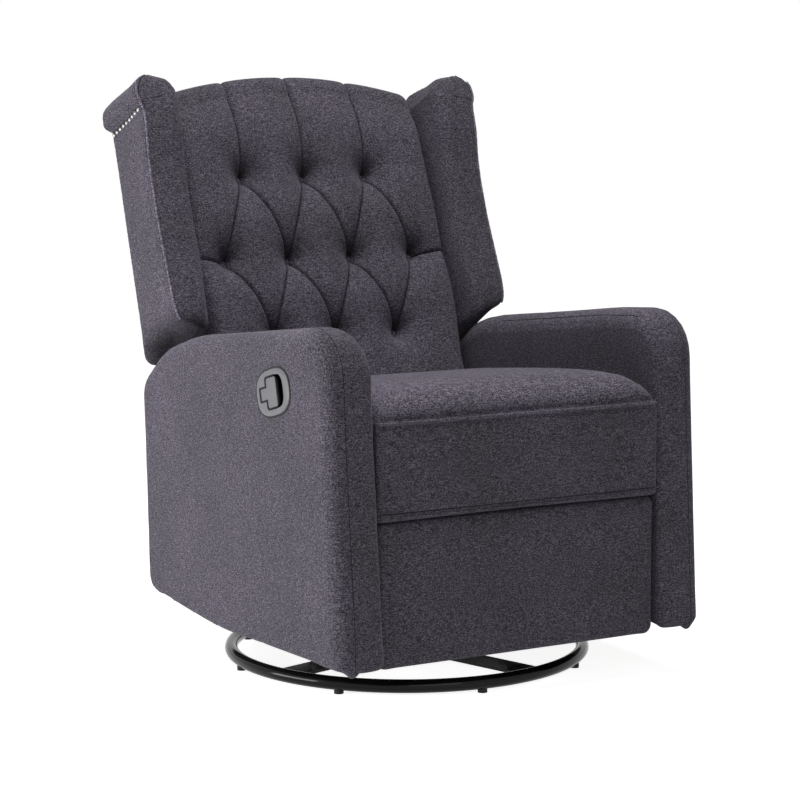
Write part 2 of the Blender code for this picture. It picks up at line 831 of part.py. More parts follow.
# Footrest linkage: side plates under the seat, a cross tube that drives both sides, and four links a side.
tube_hole = circle(pivot_p, DRIVE_TUBE_R + RUN_GAP)
layer_d = layer_c + LINK_T
for side, label in SIDES:
    name = f"seat_plate_{label}"
    top_z = frame_z - GAP
    arch_z = top_z - PLATE_NECK
    foot_front = TUBE_FRONT_Y - PLATE_FOOT / 2
    foot_rear = TUBE_REAR_Y - PLATE_FOOT / 2
    nose_y = pivot_p.x - PLATE_FRONT
    chin_z = pivot_c.y - 2.0 * LINK_HALF
    outline = filleted(
        [
            (nose_y, top_z, 0.004),
            (nose_y, pivot_p.y - 2.0 * LINK_HALF, 0.012),
            (pivot_c.x - LINK_HALF, chin_z, 0.010),
            (pivot_c.x + 2.0 * LINK_HALF, chin_z, 0.010),
            (foot_front - 0.010, arch_z, 0.012),
            (foot_front, plate_low_z, 0.003),
            (foot_front + PLATE_FOOT, plate_low_z, 0.003),
            (foot_front + PLATE_FOOT + 0.010, arch_z, 0.018),
            (foot_rear - 0.010, arch_z, 0.018),
            (foot_rear, plate_low_z, 0.003),
            (foot_rear + PLATE_FOOT, plate_low_z, 0.003),
            (foot_rear + PLATE_FOOT, top_z, 0.004),
        ],
        3,
    )
    mesh = flat(name, [outline, tube_hole], "X", mech_x, mech_x + LINK_T)
    plate = part(name, sided(mesh, side), STEEL, rock_axis)
    pin = rivet(f"control_rivet_{label}", pivot_c, mech_x + LINK_T / 2, layer_b + LINK_T)
    combine(plate, helper(pin.name, sided(pin, side)), "UNION")

    name = f"drive_link_{label}"
    outlines = [bar((pivot_p, pivot_k, pivot_e), DRIVE_HALF), tube_hole]
    mesh = flat(name, outlines, "X", layer_b, layer_b + LINK_T)
    link = part(name, sided(mesh, side), STEEL, (0.0, *pivot_p))
    for tag, spot in (("knee", pivot_k), ("support", pivot_e)):
        pin = rivet(f"{tag}_rivet_{label}", spot, layer_b + LINK_T / 2, layer_d)
        combine(link, helper(pin.name, sided(pin, side)), "UNION")

    name = f"control_link_{label}"
    outlines = [bar((pivot_c, pivot_m), LINK_HALF), circle(pivot_c, RIVET_R + RUN_GAP, 12)]
    mesh = flat(name, outlines, "X", layer_b, layer_b + LINK_T)
    link = part(name, sided(mesh, side), STEEL, (0.0, *pivot_c))
    pin = rivet(f"tail_rivet_{label}", pivot_m, layer_b + LINK_T / 2, layer_d)
    combine(link, helper(pin.name, sided(pin, side)), "UNION")

    name = f"ottoman_link_{label}"
    outlines = [bar((pivot_m, pivot_k, pivot_q), LINK_HALF)]
    outlines += [circle(spot, RIVET_R + RUN_GAP, 12) for spot in (pivot_m, pivot_k, pivot_q)]
    part(name, sided(flat(name, outlines, "X", layer_c, layer_d), side), STEEL, (0.0, *pivot_k))

    name = f"support_link_{label}"
    outlines = [bar((pivot_e, pivot_s), LINK_HALF)]
    outlines += [circle(spot, RIVET_R + RUN_GAP, 12) for spot in (pivot_e, pivot_s)]
    part(name, sided(flat(name, outlines, "X", layer_c, layer_d), side), STEEL, (0.0, *pivot_e))

    name = f"footrest_bracket_{label}"
    face_y = board_rear_y + GAP
    web = filleted(
        [
            (face_y, pivot_q.y + FLANGE_UP, 0.0),
            (face_y, pivot_q.y - FLANGE_DOWN, 0.0),
            (face_y + FLANGE_T, pivot_q.y - FLANGE_DOWN, 0.0),
            (pivot_s.x + LINK_HALF, pivot_s.y - LINK_HALF, 0.008),
            (pivot_q.x + LINK_HALF, pivot_q.y + LINK_HALF, 0.008),
            (face_y + FLANGE_T, pivot_q.y + FLANGE_UP, 0.0),
        ],
        4,
    )
    mesh = flat(name, [web], "X", layer_b, layer_b + LINK_T)
    bracket = part(name, sided(mesh, side), STEEL, (0.0, *pivot_q))
    flange = box(
        f"bracket_flange_{label}",
        (layer_b + LINK_T / 2 - FLANGE_W, face_y, pivot_q.y - FLANGE_DOWN),
        (layer_b + LINK_T / 2, face_y + FLANGE_T, pivot_q.y + FLANGE_UP),
    )
    combine(bracket, helper(flange.name, sided(flange, side)), "UNION")
    for tag, spot in (("panel", pivot_q), ("panel_support", pivot_s)):
        pin = rivet(f"{tag}_rivet_{label}", spot, layer_b + LINK_T / 2, layer_d)
        combine(bracket, helper(pin.name, sided(pin, side)), "UNION")

tube_end = layer_b + LINK_T + 0.002
part(
    "drive_tube",
    cylinder("drive_tube", "X", pivot_p, DRIVE_TUBE_R, -tube_end, tube_end),
    STEEL,
    (0.0, *pivot_p),
)

# Footrest panel: a board on the brackets and a softly crowned pad over its face.
pad_low_z = PAD_TOP_Z - PAD_HEIGHT
footrest_axis = (0.0, *pivot_q)
board = part(
    "footrest_board",
    box(
        "footrest_board",
        (-pad_half + BOARD_INSET, pad_rear_y + GAP, pad_low_z + BOARD_INSET),
        (pad_half - BOARD_INSET, board_rear_y, PAD_TOP_Z - BOARD_INSET),
    ),
    TIMBER,
    footrest_axis,
)
rounded(board, 0.003)


def pad_ring(inset, y):
    corner = max(PAD_CORNER - 0.5 * inset, 0.004)
    low, high = pad_low_z + inset, PAD_TOP_Z - inset
    wide = pad_half - inset
    corners = [(-wide, low), (wide, low), (wide, high), (-wide, high)]
    return [(u, y, v) for u, v in filleted([(*spot, corner) for spot in corners], 4)]


pad_edge = 0.008
pad_rings = [pad_ring(0.003, pad_rear_y), pad_ring(0.0, pad_rear_y - 0.003)]
for k in range(4):
    angle = math.pi / 2 * k / 3
    pad_rings.append(
        pad_ring(
            pad_edge * (1.0 - math.cos(angle)),
            SEAT_FRONT_Y + PAD_CROWN + pad_edge * (1.0 - math.sin(angle)),
        )
    )
for inset, share in ((0.022, 0.42), (0.050, 0.80), (0.085, 1.0)):
    pad_rings.append(pad_ring(inset, SEAT_FRONT_Y + PAD_CROWN * (1.0 - share)))
part("footrest_pad", loft("footrest_pad", pad_rings), CLOTH, footrest_axis)

# Arms: a padded cover with rounded edges, over a timber board that is open below.
shoulder_z = ARM_TOP_Z - math.tan(ARM_TOP_SLOPE) * (ARM_SHOULDER_Y - ARM_TOP_FRONT_Y)
nape_z = shoulder_z - math.tan(ARM_SHOULDER_SLOPE) * (ARM_REAR_TOP_Y - ARM_SHOULDER_Y)
arm_corners = [
    (ARM_LOW_FRONT_Y, ARM_LOW_Z + ARM_TOE_RISE, ARM_TOE_ROUND),
    (ARM_LOW_Y, ARM_LOW_Z, ARM_BELLY_ROUND),
    (ARM_REAR_LOW_Y, ARM_LOW_Z + ARM_HEEL_RISE, ARM_HEEL_ROUND),
    (ARM_REAR_TOP_Y, nape_z, ARM_NAPE_ROUND),
    (ARM_SHOULDER_Y, shoulder_z, ARM_SHOULDER_ROUND),
    (ARM_TOP_FRONT_Y, ARM_TOP_Z, ARM_FRONT_ROUND),
]
arm_steps = (3, 3, 4, 5, 3, 6)


def drawn_in(corners, offsets, steps):
    """The outline of those corners with each side, from its own corner to the next, moved inward."""
    lines = []
    for i, offset in enumerate(offsets):
        here, there = Vector(corners[i][:2]), Vector(corners[(i + 1) % len(corners)][:2])
        along = (there - here).normalized()
        lines.append((here + Vector((-along.y, along.x)) * offset, along))
    moved = []
    for i, (point, along) in enumerate(lines):
        other, before = lines[i - 1]
        reach = (point - other).cross(along) / before.cross(along)
        spot = other + before * reach
        radius = corners[i][2]
        radius = max(radius - max(0.0, offsets[i] + offsets[i - 1]) / 2, 0.4 * radius)
        moved.append((spot.x, spot.y, radius))
    return filleted(moved, steps)


def arm_ring(x, depth, front):
    low = 0.08 * depth
    outline = drawn_in(arm_corners, (low, low, depth, depth, depth, front * depth), arm_steps)
    return [(x, *spot) for spot in outline]


def arm_rings():
    """The arm from its inner face to its outer one, with quarter-round edges."""
    rings = []
    for k in range(5):
        angle = math.pi / 2 * k / 4
        x = arm_in + ARM_IN_EDGE * (1.0 - math.cos(angle))
        rings.append(arm_ring(x, ARM_IN_EDGE * (1.0 - math.sin(angle)), 0.15))
    for k in range(5):
        angle = math.pi / 2 * k / 4
        x = arm_out - ARM_OUT_EDGE * (1.0 - math.sin(angle))
        rings.append(arm_ring(x, ARM_OUT_EDGE * (1.0 - math.cos(angle)), 1.0))
    return rings


board_x = arm_in + ARM_PADDING
glide_y = ARM_REAR_LOW_Y - ARM_GLIDE_SETBACK
glide_low_z = ARM_LOW_Z + ARM_HEEL_RISE * (glide_y - ARM_LOW_Y) / (ARM_REAR_LOW_Y - ARM_LOW_Y)
pin_reach = back_half + GAP + HINGE_PLATE_T + HINGE_PIN_LENGTH
arms = {}
for side, label in SIDES:
    name = f"arm_cover_{label}"
    cover = part(name, sided(loft(name, arm_rings()), side), CLOTH, rock_axis)
    arms[label] = cover
    open_below = (-ARM_BOARD_INSET,) * 2
    outline = drawn_in(arm_corners, open_below + (ARM_BOARD_INSET - GAP,) * 4, arm_steps)
    slot = flat(f"arm_slot_{label}", [outline], "X", board_x - GAP, board_x + ARM_BOARD_T + GAP)
    combine(cover, helper(slot.name, sided(slot, side)))
    name = f"arm_board_{label}"
    recessed = (ARM_BOARD_RECESS,) * 2
    outline = drawn_in(arm_corners, recessed + (ARM_BOARD_INSET,) * 4, arm_steps)
    mesh = flat(name, [outline], "X", board_x, board_x + ARM_BOARD_T)
    board = part(name, sided(mesh, side), TIMBER, rock_axis)
    bore = cylinder(
        f"hinge_bore_{label}",
        "X",
        (HINGE_Y, HINGE_Z),
        HINGE_PIN_R + RUN_GAP,
        arm_in - 0.02,
        pin_reach + RUN_GAP,
    )
    bore_cutter = helper(bore.name, sided(bore, side))
    combine(cover, bore_cutter)
    combine(board, bore_cutter)
    glide_x = board_x + ARM_BOARD_T / 2
    glide_top_z = glide_low_z + ARM_GLIDE_DEEP
    seat = cylinder(
        f"arm_glide_seat_{label}",
        "Z",
        (glide_x, glide_y),
        ARM_GLIDE_R + GAP,
        glide_low_z - 0.03,
        glide_top_z + GAP,
    )
    combine(board, helper(seat.name, sided(seat, side)))
    name = f"arm_glide_{label}"
    mesh = cylinder(name, "Z", (glide_x, glide_y), ARM_GLIDE_R, glide_low_z - ARM_GLIDE_DROP, glide_top_z)
    part(name, sided(mesh, side), RUBBER, rock_axis)

rear_rail = part(
    "rear_rail",
    box(
        "rear_rail",
        (-arm_in + GAP, REAR_RAIL_Y, REAR_RAIL_LOW_Z),
        (arm_in - GAP, REAR_RAIL_Y + REAR_RAIL_T, REAR_RAIL_TOP_Z),
    ),
    CLOTH,
    rock_axis,
)
rounded(rear_rail, REAR_RAIL_ROUND)

# Release handle: an oval bezel let into the right arm, with a T-shaped lever in its well. It is drawn
# level and then turned about its centre, so that its front end stands higher.
handle_spot = Vector((0.0, HANDLE_Y, HANDLE_Z))
handle_turn = Matrix.Rotation(-HANDLE_TILT, 4, "X")


def tilted(mesh):
    mesh.transform(Matrix.Translation(handle_spot) @ handle_turn @ Matrix.Translation(-handle_spot))
    return mesh


def oval(long, tall, clear=0.0, sides=28):
    """A soft-cornered oval about the handle's centre, in (y, z)."""
    points = []
    for i in range(sides):
        angle = 2 * math.pi * i / sides
        c, s = math.cos(angle), math.sin(angle)
        u = math.copysign(abs(c) ** 0.75, c) * (long / 2 + clear)
        v = math.copysign(abs(s) ** 0.75, s) * (tall / 2 + clear)
        points.append((HANDLE_Y + u, HANDLE_Z + v))
    return points


def oval_ring(x, long, tall):
    return [(x, *spot) for spot in oval(long, tall)]


face_x = arm_out + BEZEL_LIP
cup_long, cup_tall = BEZEL_LONG - 2 * BEZEL_RIM, BEZEL_TALL - 2 * BEZEL_RIM
seat_x = arm_out + GAP
bezel_rings = [
    oval_ring(arm_out - BEZEL_DEEP, cup_long - 0.004, cup_tall - 0.004),
    oval_ring(arm_out - BEZEL_DEEP + 0.002, cup_long, cup_tall),
    oval_ring(seat_x, cup_long, cup_tall),
    oval_ring(seat_x, BEZEL_LONG, BEZEL_TALL),
    oval_ring(seat_x + 0.4 * BEZEL_LIP, BEZEL_LONG, BEZEL_TALL),
    oval_ring(face_x - 0.2 * BEZEL_LIP, BEZEL_LONG - 0.004, BEZEL_TALL - 0.004),
    oval_ring(face_x, BEZEL_LONG - 0.010, BEZEL_TALL - 0.010),
]
mesh = tilted(sided(loft("handle_bezel", bezel_rings), -1))
bezel = part("handle_bezel", mesh, GREY_PLASTIC, rock_axis)
pocket = flat(
    "bezel_pocket",
    [oval(cup_long, cup_tall, GAP)],
    "X",
    arm_out - BEZEL_DEEP - GAP,
    arm_out + 0.02,
)
combine(arms["right"], helper("bezel_pocket", tilted(sided(pocket, -1))))

# The lever's T, drawn from its pivot behind the stem to the finger slot in front of the head.
lever_rear_y = HANDLE_Y + (LEVER_HEAD_W + LEVER_STEM_W + WELL_SLOT) / 2
lever_neck_y = lever_rear_y - LEVER_STEM_W
lever_front_y = lever_neck_y - LEVER_HEAD_W


def tee(clear, front_y, front_round):
    stem, head = LEVER_STEM_H / 2 + clear, LEVER_HEAD_H / 2 + clear
    return filleted(
        [
            (lever_rear_y + clear, -stem + HANDLE_Z, 0.0025),
            (lever_rear_y + clear, stem + HANDLE_Z, 0.0025),
            (lever_neck_y + clear, stem + HANDLE_Z, 0.001),
            (lever_neck_y + clear, head + HANDLE_Z, LEVER_ROUND),
            (front_y, head + HANDLE_Z, front_round),
            (front_y, -head + HANDLE_Z, front_round),
            (lever_neck_y + clear, -head + HANDLE_Z, LEVER_ROUND),
            (lever_neck_y + clear, -stem + HANDLE_Z, 0.001),
        ],
        3,
    )


well_outline = tee(LEVER_CLEAR, lever_front_y - WELL_SLOT, WELL_ROUND)
well = flat("handle_well", [well_outline], "X", face_x - WELL_DEEP, face_x + 0.01)
combine(bezel, helper("handle_well", tilted(sided(well, -1))))
lever_pin_x = face_x - LEVER_T / 2
lever_pin_y = lever_rear_y - LEVER_T / 2
pin_half = LEVER_STEM_H / 2 + LEVER_CLEAR + LEVER_PIN_OUT
lever_axis = handle_spot + handle_turn @ Vector((-lever_pin_x, lever_pin_y - HANDLE_Y, 0.0))
mesh = flat("release_lever", [tee(0.0, lever_front_y, LEVER_ROUND)], "X", face_x - LEVER_T, face_x)
lever = part("release_lever", tilted(sided(mesh, -1)), GREY_PLASTIC, lever_axis)
spot = (-lever_pin_x, lever_pin_y)
pin = cylinder("lever_pin", "Z", spot, LEVER_PIN_R, HANDLE_Z - pin_half, HANDLE_Z + pin_half, 12)
combine(lever, helper("lever_pin", tilted(pin)), "UNION")
bore = cylinder(
    "lever_bore", "Z", spot, LEVER_PIN_R + GAP, HANDLE_Z - pin_half - GAP, HANDLE_Z + pin_half + GAP, 12
)
combine(bezel, helper("lever_bore", tilted(bore)))

# Back: a timber frame and a rear panel on the rake of the rear, drawn about the hinge.


def plank(name, outlines, near, far, finish):
    """A flat board of the back, between two depths behind the hinge."""
    mesh = flat(name, outlines, "Y", near, far)
    return part(name, mesh, finish, hinge, -REAR_LEAN, local=True)


def upright_rectangle(half, low, high, corner, steps=3):
    corners = [(low, -half), (high, -half), (high, half), (low, half)]
    return filleted([(*spot, corner) for spot in corners], steps)


panel_y = BACK_REAR - PANEL_T
board_y = panel_y - GAP - BACK_BOARD_T
cushion_y = board_y - GAP
plank(
    "back_panel",
    [upright_rectangle(back_half, BACK_LOW, BACK_BOARD_TOP, PANEL_ROUND)],
    panel_y,
    BACK_REAR,
    CLOTH,
)
plank(
    "back_frame",
    [
        upright_rectangle(back_half, BACK_LOW, BACK_BOARD_TOP, PANEL_ROUND),
        upright_rectangle(
            back_half - BACK_BOARD_RAIL,
            BACK_LOW + BACK_BOARD_RAIL,
            BACK_BOARD_TOP - BACK_BOARD_RAIL,
            PANEL_ROUND,
        ),
    ],
    board_y,
    board_y + BACK_BOARD_T,
    TIMBER,
)


def rear_line(depth, s):
    """How far forward of the hinge a plane of the rear lies, at s up the cushion's own rake."""
    return -depth / math.cos(taper) + math.tan(taper) * s


def over_top(depth):
    """Where the cushion's roll clears the top of the boards, at a depth behind the hinge."""
    return BACK_BOARD_TOP * math.cos(taper) + depth * math.sin(taper) + GAP / math.cos(taper)


buttons = []
for s, count in TUFT_ROWS:
    for k in range(count):
        buttons.append(((k - (count - 1) / 2) * TUFT_PITCH, s))
pleats = []
for (sa, count_a), (sb, count_b) in zip(TUFT_ROWS, TUFT_ROWS[1:]):
    lower = [spot for spot in buttons if spot[1] == sa]
    upper = [spot for spot in buttons if spot[1] == sb]
    pleats += [(a, b) for a in lower for b in upper if abs(a[0] - b[0]) < 0.75 * TUFT_PITCH]
top_row = TUFT_ROWS[-1][0]
pleats += [(spot, (spot[0], BACK_TOP)) for spot in buttons if spot[1] == top_row]


def tufting(x, s):
    """From 0 at a button to 1 on the crown of a tuft, with the pleats between buttons drawn in."""
    here = Vector((x, s))
    nearest = min((here - Vector(spot)).length for spot in buttons)
    height = 1.0 - math.exp(-((nearest / TUFT_SIZE) ** 1.4))
    crease = math.inf
    for a, b in pleats:
        a, b = Vector(a), Vector(b)
        along = b - a
        share = max(0.0, min(1.0, (here - a).dot(along) / along.length_squared))
        crease = min(crease, (here - a - along * share).length)
    fade = max(0.0, min(1.0, (BACK_TOP - s) / PLEAT_FADE))
    return height * (1.0 - fade * PLEAT_DEEP * math.exp(-((crease / PLEAT_SIZE) ** 2)))


def back_section(x):
    """The cushion across X, as (n forward, s up): drawn-in foot, tufted face and rolled top."""
    edge = max(0.0, (back_half - abs(x)) / BACK_SIDE_ROUND)
    full = math.sqrt(max(0.0, 1.0 - (1.0 - min(1.0, edge)) ** 2))
    top = BACK_TOP - BACK_TOP_CROWN * x * x
    rows = [row for row, count in TUFT_ROWS]
    heights = [BACK_LOW + 0.012, 0.03, 0.08, 0.13]
    for a, b in zip(rows, rows[1:]):
        heights += [a + (b - a) * k / 6 for k in range(6)]
    heights.append(rows[-1])
    shoulder = top - BACK_TOP_ROUND
    heights += [rows[-1] + (shoulder - rows[-1]) * k / 5 for k in range(1, 6)]
    face = [(rear_line(cushion_y, BACK_LOW) + 0.004, BACK_LOW), (0.45 * TUFT_N, BACK_LOW)]
    for s in heights:
        draw = 1.0 - max(0.0, (0.06 - s) / 0.09) ** 2 * 0.5
        swell = TUFT_BULGE * full * tufting(x, s)
        face.append(((TUFT_N + swell) * draw, s))
    brow = face[-1][0]
    rear = rear_line(BACK_REAR, shoulder)
    middle = (brow + rear) / 2
    for k in range(1, 7):
        angle = math.pi * k / 7
        face.append(
            (middle + (brow - middle) * math.cos(angle), shoulder + BACK_TOP_ROUND * math.sin(angle) ** 0.8)
        )
    face.append((rear, shoulder))
    low = over_top(BACK_REAR)
    face.append((rear_line(BACK_REAR, low), low))
    low = over_top(cushion_y)
    face.append((rear_line(cushion_y, low), low))
    return [(x, -n, s) for n, s in face]


stations = [k * TUFT_PITCH / 8 for k in range(17)]
stations = [x for x in stations if x < back_half - 0.5 * BACK_SIDE_ROUND]
stations += [back_half - BACK_SIDE_ROUND * share for share in (0.32, 0.1, 0.0)]
spread = [-x for x in stations[:0:-1]] + stations
mesh = loft("back_cushion", [back_section(x) for x in spread])
part("back_cushion", mesh, CLOTH, hinge, -BACK_LEAN, local=True)

# Wings: padded sides whose tops roll outward into ears, with a strip of nail heads under each ear.


def wing_front(s):
    """The wing's front, straight below and flared toward the ear."""
    return -(WING_FRONT + WING_FLARE * max(0.0, s - WING_WAIST) ** 2)


def wing_ring(s, low_x, high_x, draw, flare=0.0):
    """A ring of the wing with soft front corners, drawn in all round, flared and lower at its rear."""
    front = wing_front(s) + draw
    rear = -rear_line(BACK_REAR, s) - draw
    width = high_x - low_x
    inner = min(WING_IN_ROUND, 0.45 * width)
    outer = min(WING_OUT_ROUND, 0.45 * width)
    corners = [
        (wing_in + EAR_TWIST * (low_x - wing_in), rear, min(0.003, 0.2 * width)),
        (low_x, front, inner),
        (high_x, front, outer),
        (high_x + flare, rear, 0.4 * outer),
    ]
    low_tilt = WING_LOW_TILT * max(0.0, 1.0 - (s - WING_LOW) / WING_LOW_FADE)
    ear_tilt = EAR_TILT * max(0.0, (s - EAR_LOW) / (2 * EAR_R))
    return [(x, y, s - low_tilt * y - ear_tilt * (y - front)) for x, y in filleted(corners, 5)]


def wing_rings():
    """The wing from its foot to the crest of the ear, which rolls out more toward its rear end."""
    rings = []
    foot = ((0.0, 0.007, 0.014), (0.004, 0.002, 0.006), (0.013, 0.0, 0.0015), (0.030, 0.0, 0.0))
    for rise, draw, tuck in foot:
        rings.append(wing_ring(WING_LOW + rise, wing_in + draw, wing_out - tuck, draw))
    neck = EAR_LOW - 0.004
    for k in range(1, 7):
        s = WING_LOW + (neck - WING_LOW) * k / 6
        rings.append(wing_ring(s, wing_in, wing_out, 0.0))
    centre = EAR_LOW + EAR_R
    for k in range(1, 6):
        angle = math.pi / 2 * (k / 5 - 1.0)
        out = math.cos(angle)
        s = centre + EAR_R * math.sin(angle)
        rings.append(wing_ring(s, wing_in, wing_out + EAR_FRONT_OUT * out, 0.0, EAR_REAR_OUT * out))
    crest = wing_in + EAR_CREST
    for share in (0.22, 0.45, 0.66, 0.82, 0.93, 0.985):
        low_x = crest - EAR_CREST * (1.0 - share**1.2)
        out = (1.0 - share**3) ** (1.0 / 3.0)
        high_x = crest + (wing_out + EAR_FRONT_OUT - crest) * out
        draw = 0.010 * (1.0 - math.sqrt(1.0 - share**2))
        rings.append(wing_ring(centre + EAR_R * share, low_x, high_x, draw, EAR_REAR_OUT * out))
    return rings


for side, label in SIDES:
    name = f"wing_{label}"
    part(name, sided(loft(name, wing_rings()), side), CLOTH, hinge, -BACK_LEAN, local=True)

    name = f"nail_strip_{label}"
    nail_s = EAR_LOW - NAIL_DROP
    front = wing_front(nail_s) + NAIL_MARGIN
    rear = -rear_line(BACK_REAR, nail_s) - NAIL_MARGIN
    low_x = wing_out + GAP
    mesh = box(
        name,
        (low_x, front - NAIL_R, nail_s - NAIL_STRIP_W / 2),
        (low_x + NAIL_STRIP_T, rear + NAIL_R, nail_s + NAIL_STRIP_W / 2),
    )
    strip = part(name, sided(mesh, side), SILVER, hinge, -BACK_LEAN, local=True)
    for k in range(NAILS):
        y = front + (rear - front) * k / (NAILS - 1)
        rings = []
        for height, share in ((0.0, 1.0), (0.6, 0.80), (1.0, 0.30)):
            x = low_x + height * 0.55 * NAIL_R + NAIL_STRIP_T * 0.5
            rings.append([(x, y + u, nail_s + v) for u, v in circle((0.0, 0.0), share * NAIL_R, 8)])
        dome = sided(loft(f"nail_{label}_{k + 1}", rings), side)
        head = helper(dome.name, dome)
        head.location = hinge
        head.rotation_euler = (-BACK_LEAN, 0.0, 0.0)
        combine(strip, head, "UNION")

    # Hinge plate: screwed to the side of the back frame, with a pin into the arm.
    name = f"hinge_plate_{label}"
    half = HINGE_PLATE_W / 2
    outline = filleted(
        [
            (BACK_REAR - PANEL_T, HINGE_PLATE_TOP, 0.004),
            (board_y - 0.006, HINGE_PLATE_TOP, 0.004),
            (board_y - 0.006, 2 * half, 0.010),
            (-half, half, 0.010),
            (-half, -half, 0.012),
            (half, -half, 0.010),
            (BACK_REAR - PANEL_T, half, 0.008),
        ],
        4,
    )
    low_x = back_half + GAP
    mesh = flat(name, [outline], "X", low_x, low_x + HINGE_PLATE_T)
    plate = part(name, sided(mesh, side), STEEL, hinge, -REAR_LEAN, local=True)
    pin = cylinder(f"hinge_pin_{label}", "X", (0.0, 0.0), HINGE_PIN_R, low_x + HINGE_PLATE_T / 2, pin_reach)
    peg = helper(pin.name, sided(pin, side))
    peg.location = hinge
    combine(plate, peg, "UNION")
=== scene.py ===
import math

import bmesh
import bpy
import numpy as np
from mathutils import Matrix, Vector
from mathutils.bvhtree import BVHTree


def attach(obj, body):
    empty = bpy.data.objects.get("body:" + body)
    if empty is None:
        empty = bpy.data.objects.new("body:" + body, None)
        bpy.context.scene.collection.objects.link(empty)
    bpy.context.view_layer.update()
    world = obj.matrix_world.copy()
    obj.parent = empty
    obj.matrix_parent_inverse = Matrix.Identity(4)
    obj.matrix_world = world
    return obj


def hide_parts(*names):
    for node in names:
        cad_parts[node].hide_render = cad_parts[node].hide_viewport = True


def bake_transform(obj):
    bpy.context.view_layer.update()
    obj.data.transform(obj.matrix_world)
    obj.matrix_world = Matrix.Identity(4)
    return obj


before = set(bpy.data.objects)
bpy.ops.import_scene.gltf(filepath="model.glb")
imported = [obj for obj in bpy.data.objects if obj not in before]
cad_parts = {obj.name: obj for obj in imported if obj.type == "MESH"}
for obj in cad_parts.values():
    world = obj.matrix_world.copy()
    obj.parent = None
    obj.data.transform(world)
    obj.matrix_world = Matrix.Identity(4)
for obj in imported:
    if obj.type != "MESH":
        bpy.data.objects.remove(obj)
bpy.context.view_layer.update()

scene = bpy.context.scene

# Studio: a white floor that runs out into a white room, a wide soft light low on the chair's right side,
# one overhead and a weak one in front. The camera stands where the photograph was taken from.
azimuth, tilt, roll = (math.radians(angle) for angle in (-30.1215, 7.1479, -0.1814))
aim = Vector((-math.sin(azimuth) * math.cos(tilt), math.cos(azimuth) * math.cos(tilt), -math.sin(tilt)))
level = Vector((math.cos(azimuth), math.sin(azimuth), 0.0))
rise = level.cross(aim)
across = level * math.cos(roll) + rise * math.sin(roll)
upward = rise * math.cos(roll) - level * math.sin(roll)
camera = bpy.data.objects.new("camera", bpy.data.cameras.new("camera"))
camera.data.lens = 105.708
camera.data.clip_end = 60.0
spot = Matrix.Translation((-2.06128, -3.53172, 0.96550))
camera.matrix_world = spot @ Matrix((across, upward, -aim)).transposed().to_4x4()
scene.collection.objects.link(camera)
scene.camera = camera
scene.view_settings.view_transform = "Standard"


def node(tree, kind, settings=(), **inputs):
    """A shader node with its settings and the plain values of its inputs."""
    made = tree.nodes.new("ShaderNode" + kind)
    for key, value in dict(settings).items():
        setattr(made, key, value)
    for key, value in inputs.items():
        made.inputs[key.replace("_", " ")].default_value = value
    return made


def seen_by_eye(tree):
    """1 for what the camera sees, directly or in metal or glass, and 0 for the light on the object."""
    path = node(tree, "LightPath")
    either = node(tree, "Math", {"operation": "MAXIMUM"})
    tree.links.new(path.outputs["Is Camera Ray"], either.inputs[0])
    tree.links.new(path.outputs["Is Glossy Ray"], either.inputs[1])
    every = node(tree, "Math", {"operation": "MAXIMUM"})
    tree.links.new(either.outputs[0], every.inputs[0])
    tree.links.new(path.outputs["Is Transmission Ray"], every.inputs[1])
    return every.outputs[0]


fill_light, floor_size, floor_z = 0.035, 14.0, -0.0006
room = bpy.data.worlds.new("room")
scene.world = room
room.use_nodes = True
tree = room.node_tree
ambient = tree.nodes["Background"]
ambient.inputs["Color"].default_value = (1.0, 1.0, 1.0, 1.0)
ambient.inputs["Strength"].default_value = fill_light
white = node(tree, "Background", Color=(1.0, 1.0, 1.0, 1.0), Strength=1.0)
choice = node(tree, "MixShader")
tree.links.new(seen_by_eye(tree), choice.inputs["Fac"])
tree.links.new(ambient.outputs[0], choice.inputs[1])
tree.links.new(white.outputs[0], choice.inputs[2])
tree.links.new(choice.outputs[0], tree.nodes["World Output"].inputs["Surface"])

paper = bpy.data.materials.new("floor_paper")
paper.use_nodes = True
tree = paper.node_tree
core = tree.nodes["Principled BSDF"]
core.inputs["Base Color"].default_value = (0.90, 0.90, 0.90, 1.0)
core.inputs["Roughness"].default_value = 0.9
core.inputs["Specular IOR Level"].default_value = 0.0
glow = node(tree, "Emission", Color=(1.0, 1.0, 1.0, 1.0))
lift = node(tree, "Math", {"operation": "MULTIPLY"})
tree.links.new(seen_by_eye(tree), lift.inputs[0])
# The floor keeps the chair's shadow near it and fades to plain white further away.
away = node(tree, "VectorMath", {"operation": "LENGTH"})
tree.links.new(node(tree, "TexCoord").outputs["Object"], away.inputs[0])
fade = node(tree, "MapRange", From_Min=0.8, From_Max=2.2, To_Min=0.90, To_Max=1.0)
tree.links.new(away.outputs["Value"], fade.inputs["Value"])
tree.links.new(fade.outputs["Result"], lift.inputs[1])
tree.links.new(lift.outputs[0], glow.inputs["Strength"])
both = node(tree, "AddShader")
tree.links.new(core.outputs[0], both.inputs[0])
tree.links.new(glow.outputs[0], both.inputs[1])
tree.links.new(both.outputs[0], tree.nodes["Material Output"].inputs["Surface"])
bm = bmesh.new()
sunk = Matrix.Translation((0, 0, floor_z))
bmesh.ops.create_grid(bm, x_segments=2, y_segments=2, size=floor_size, matrix=sunk)
mesh = bpy.data.meshes.new("floor")
bm.to_mesh(mesh)
bm.free()
mesh.materials.append(paper)
floor = bpy.data.objects.new("floor", mesh)
scene.collection.objects.link(floor)


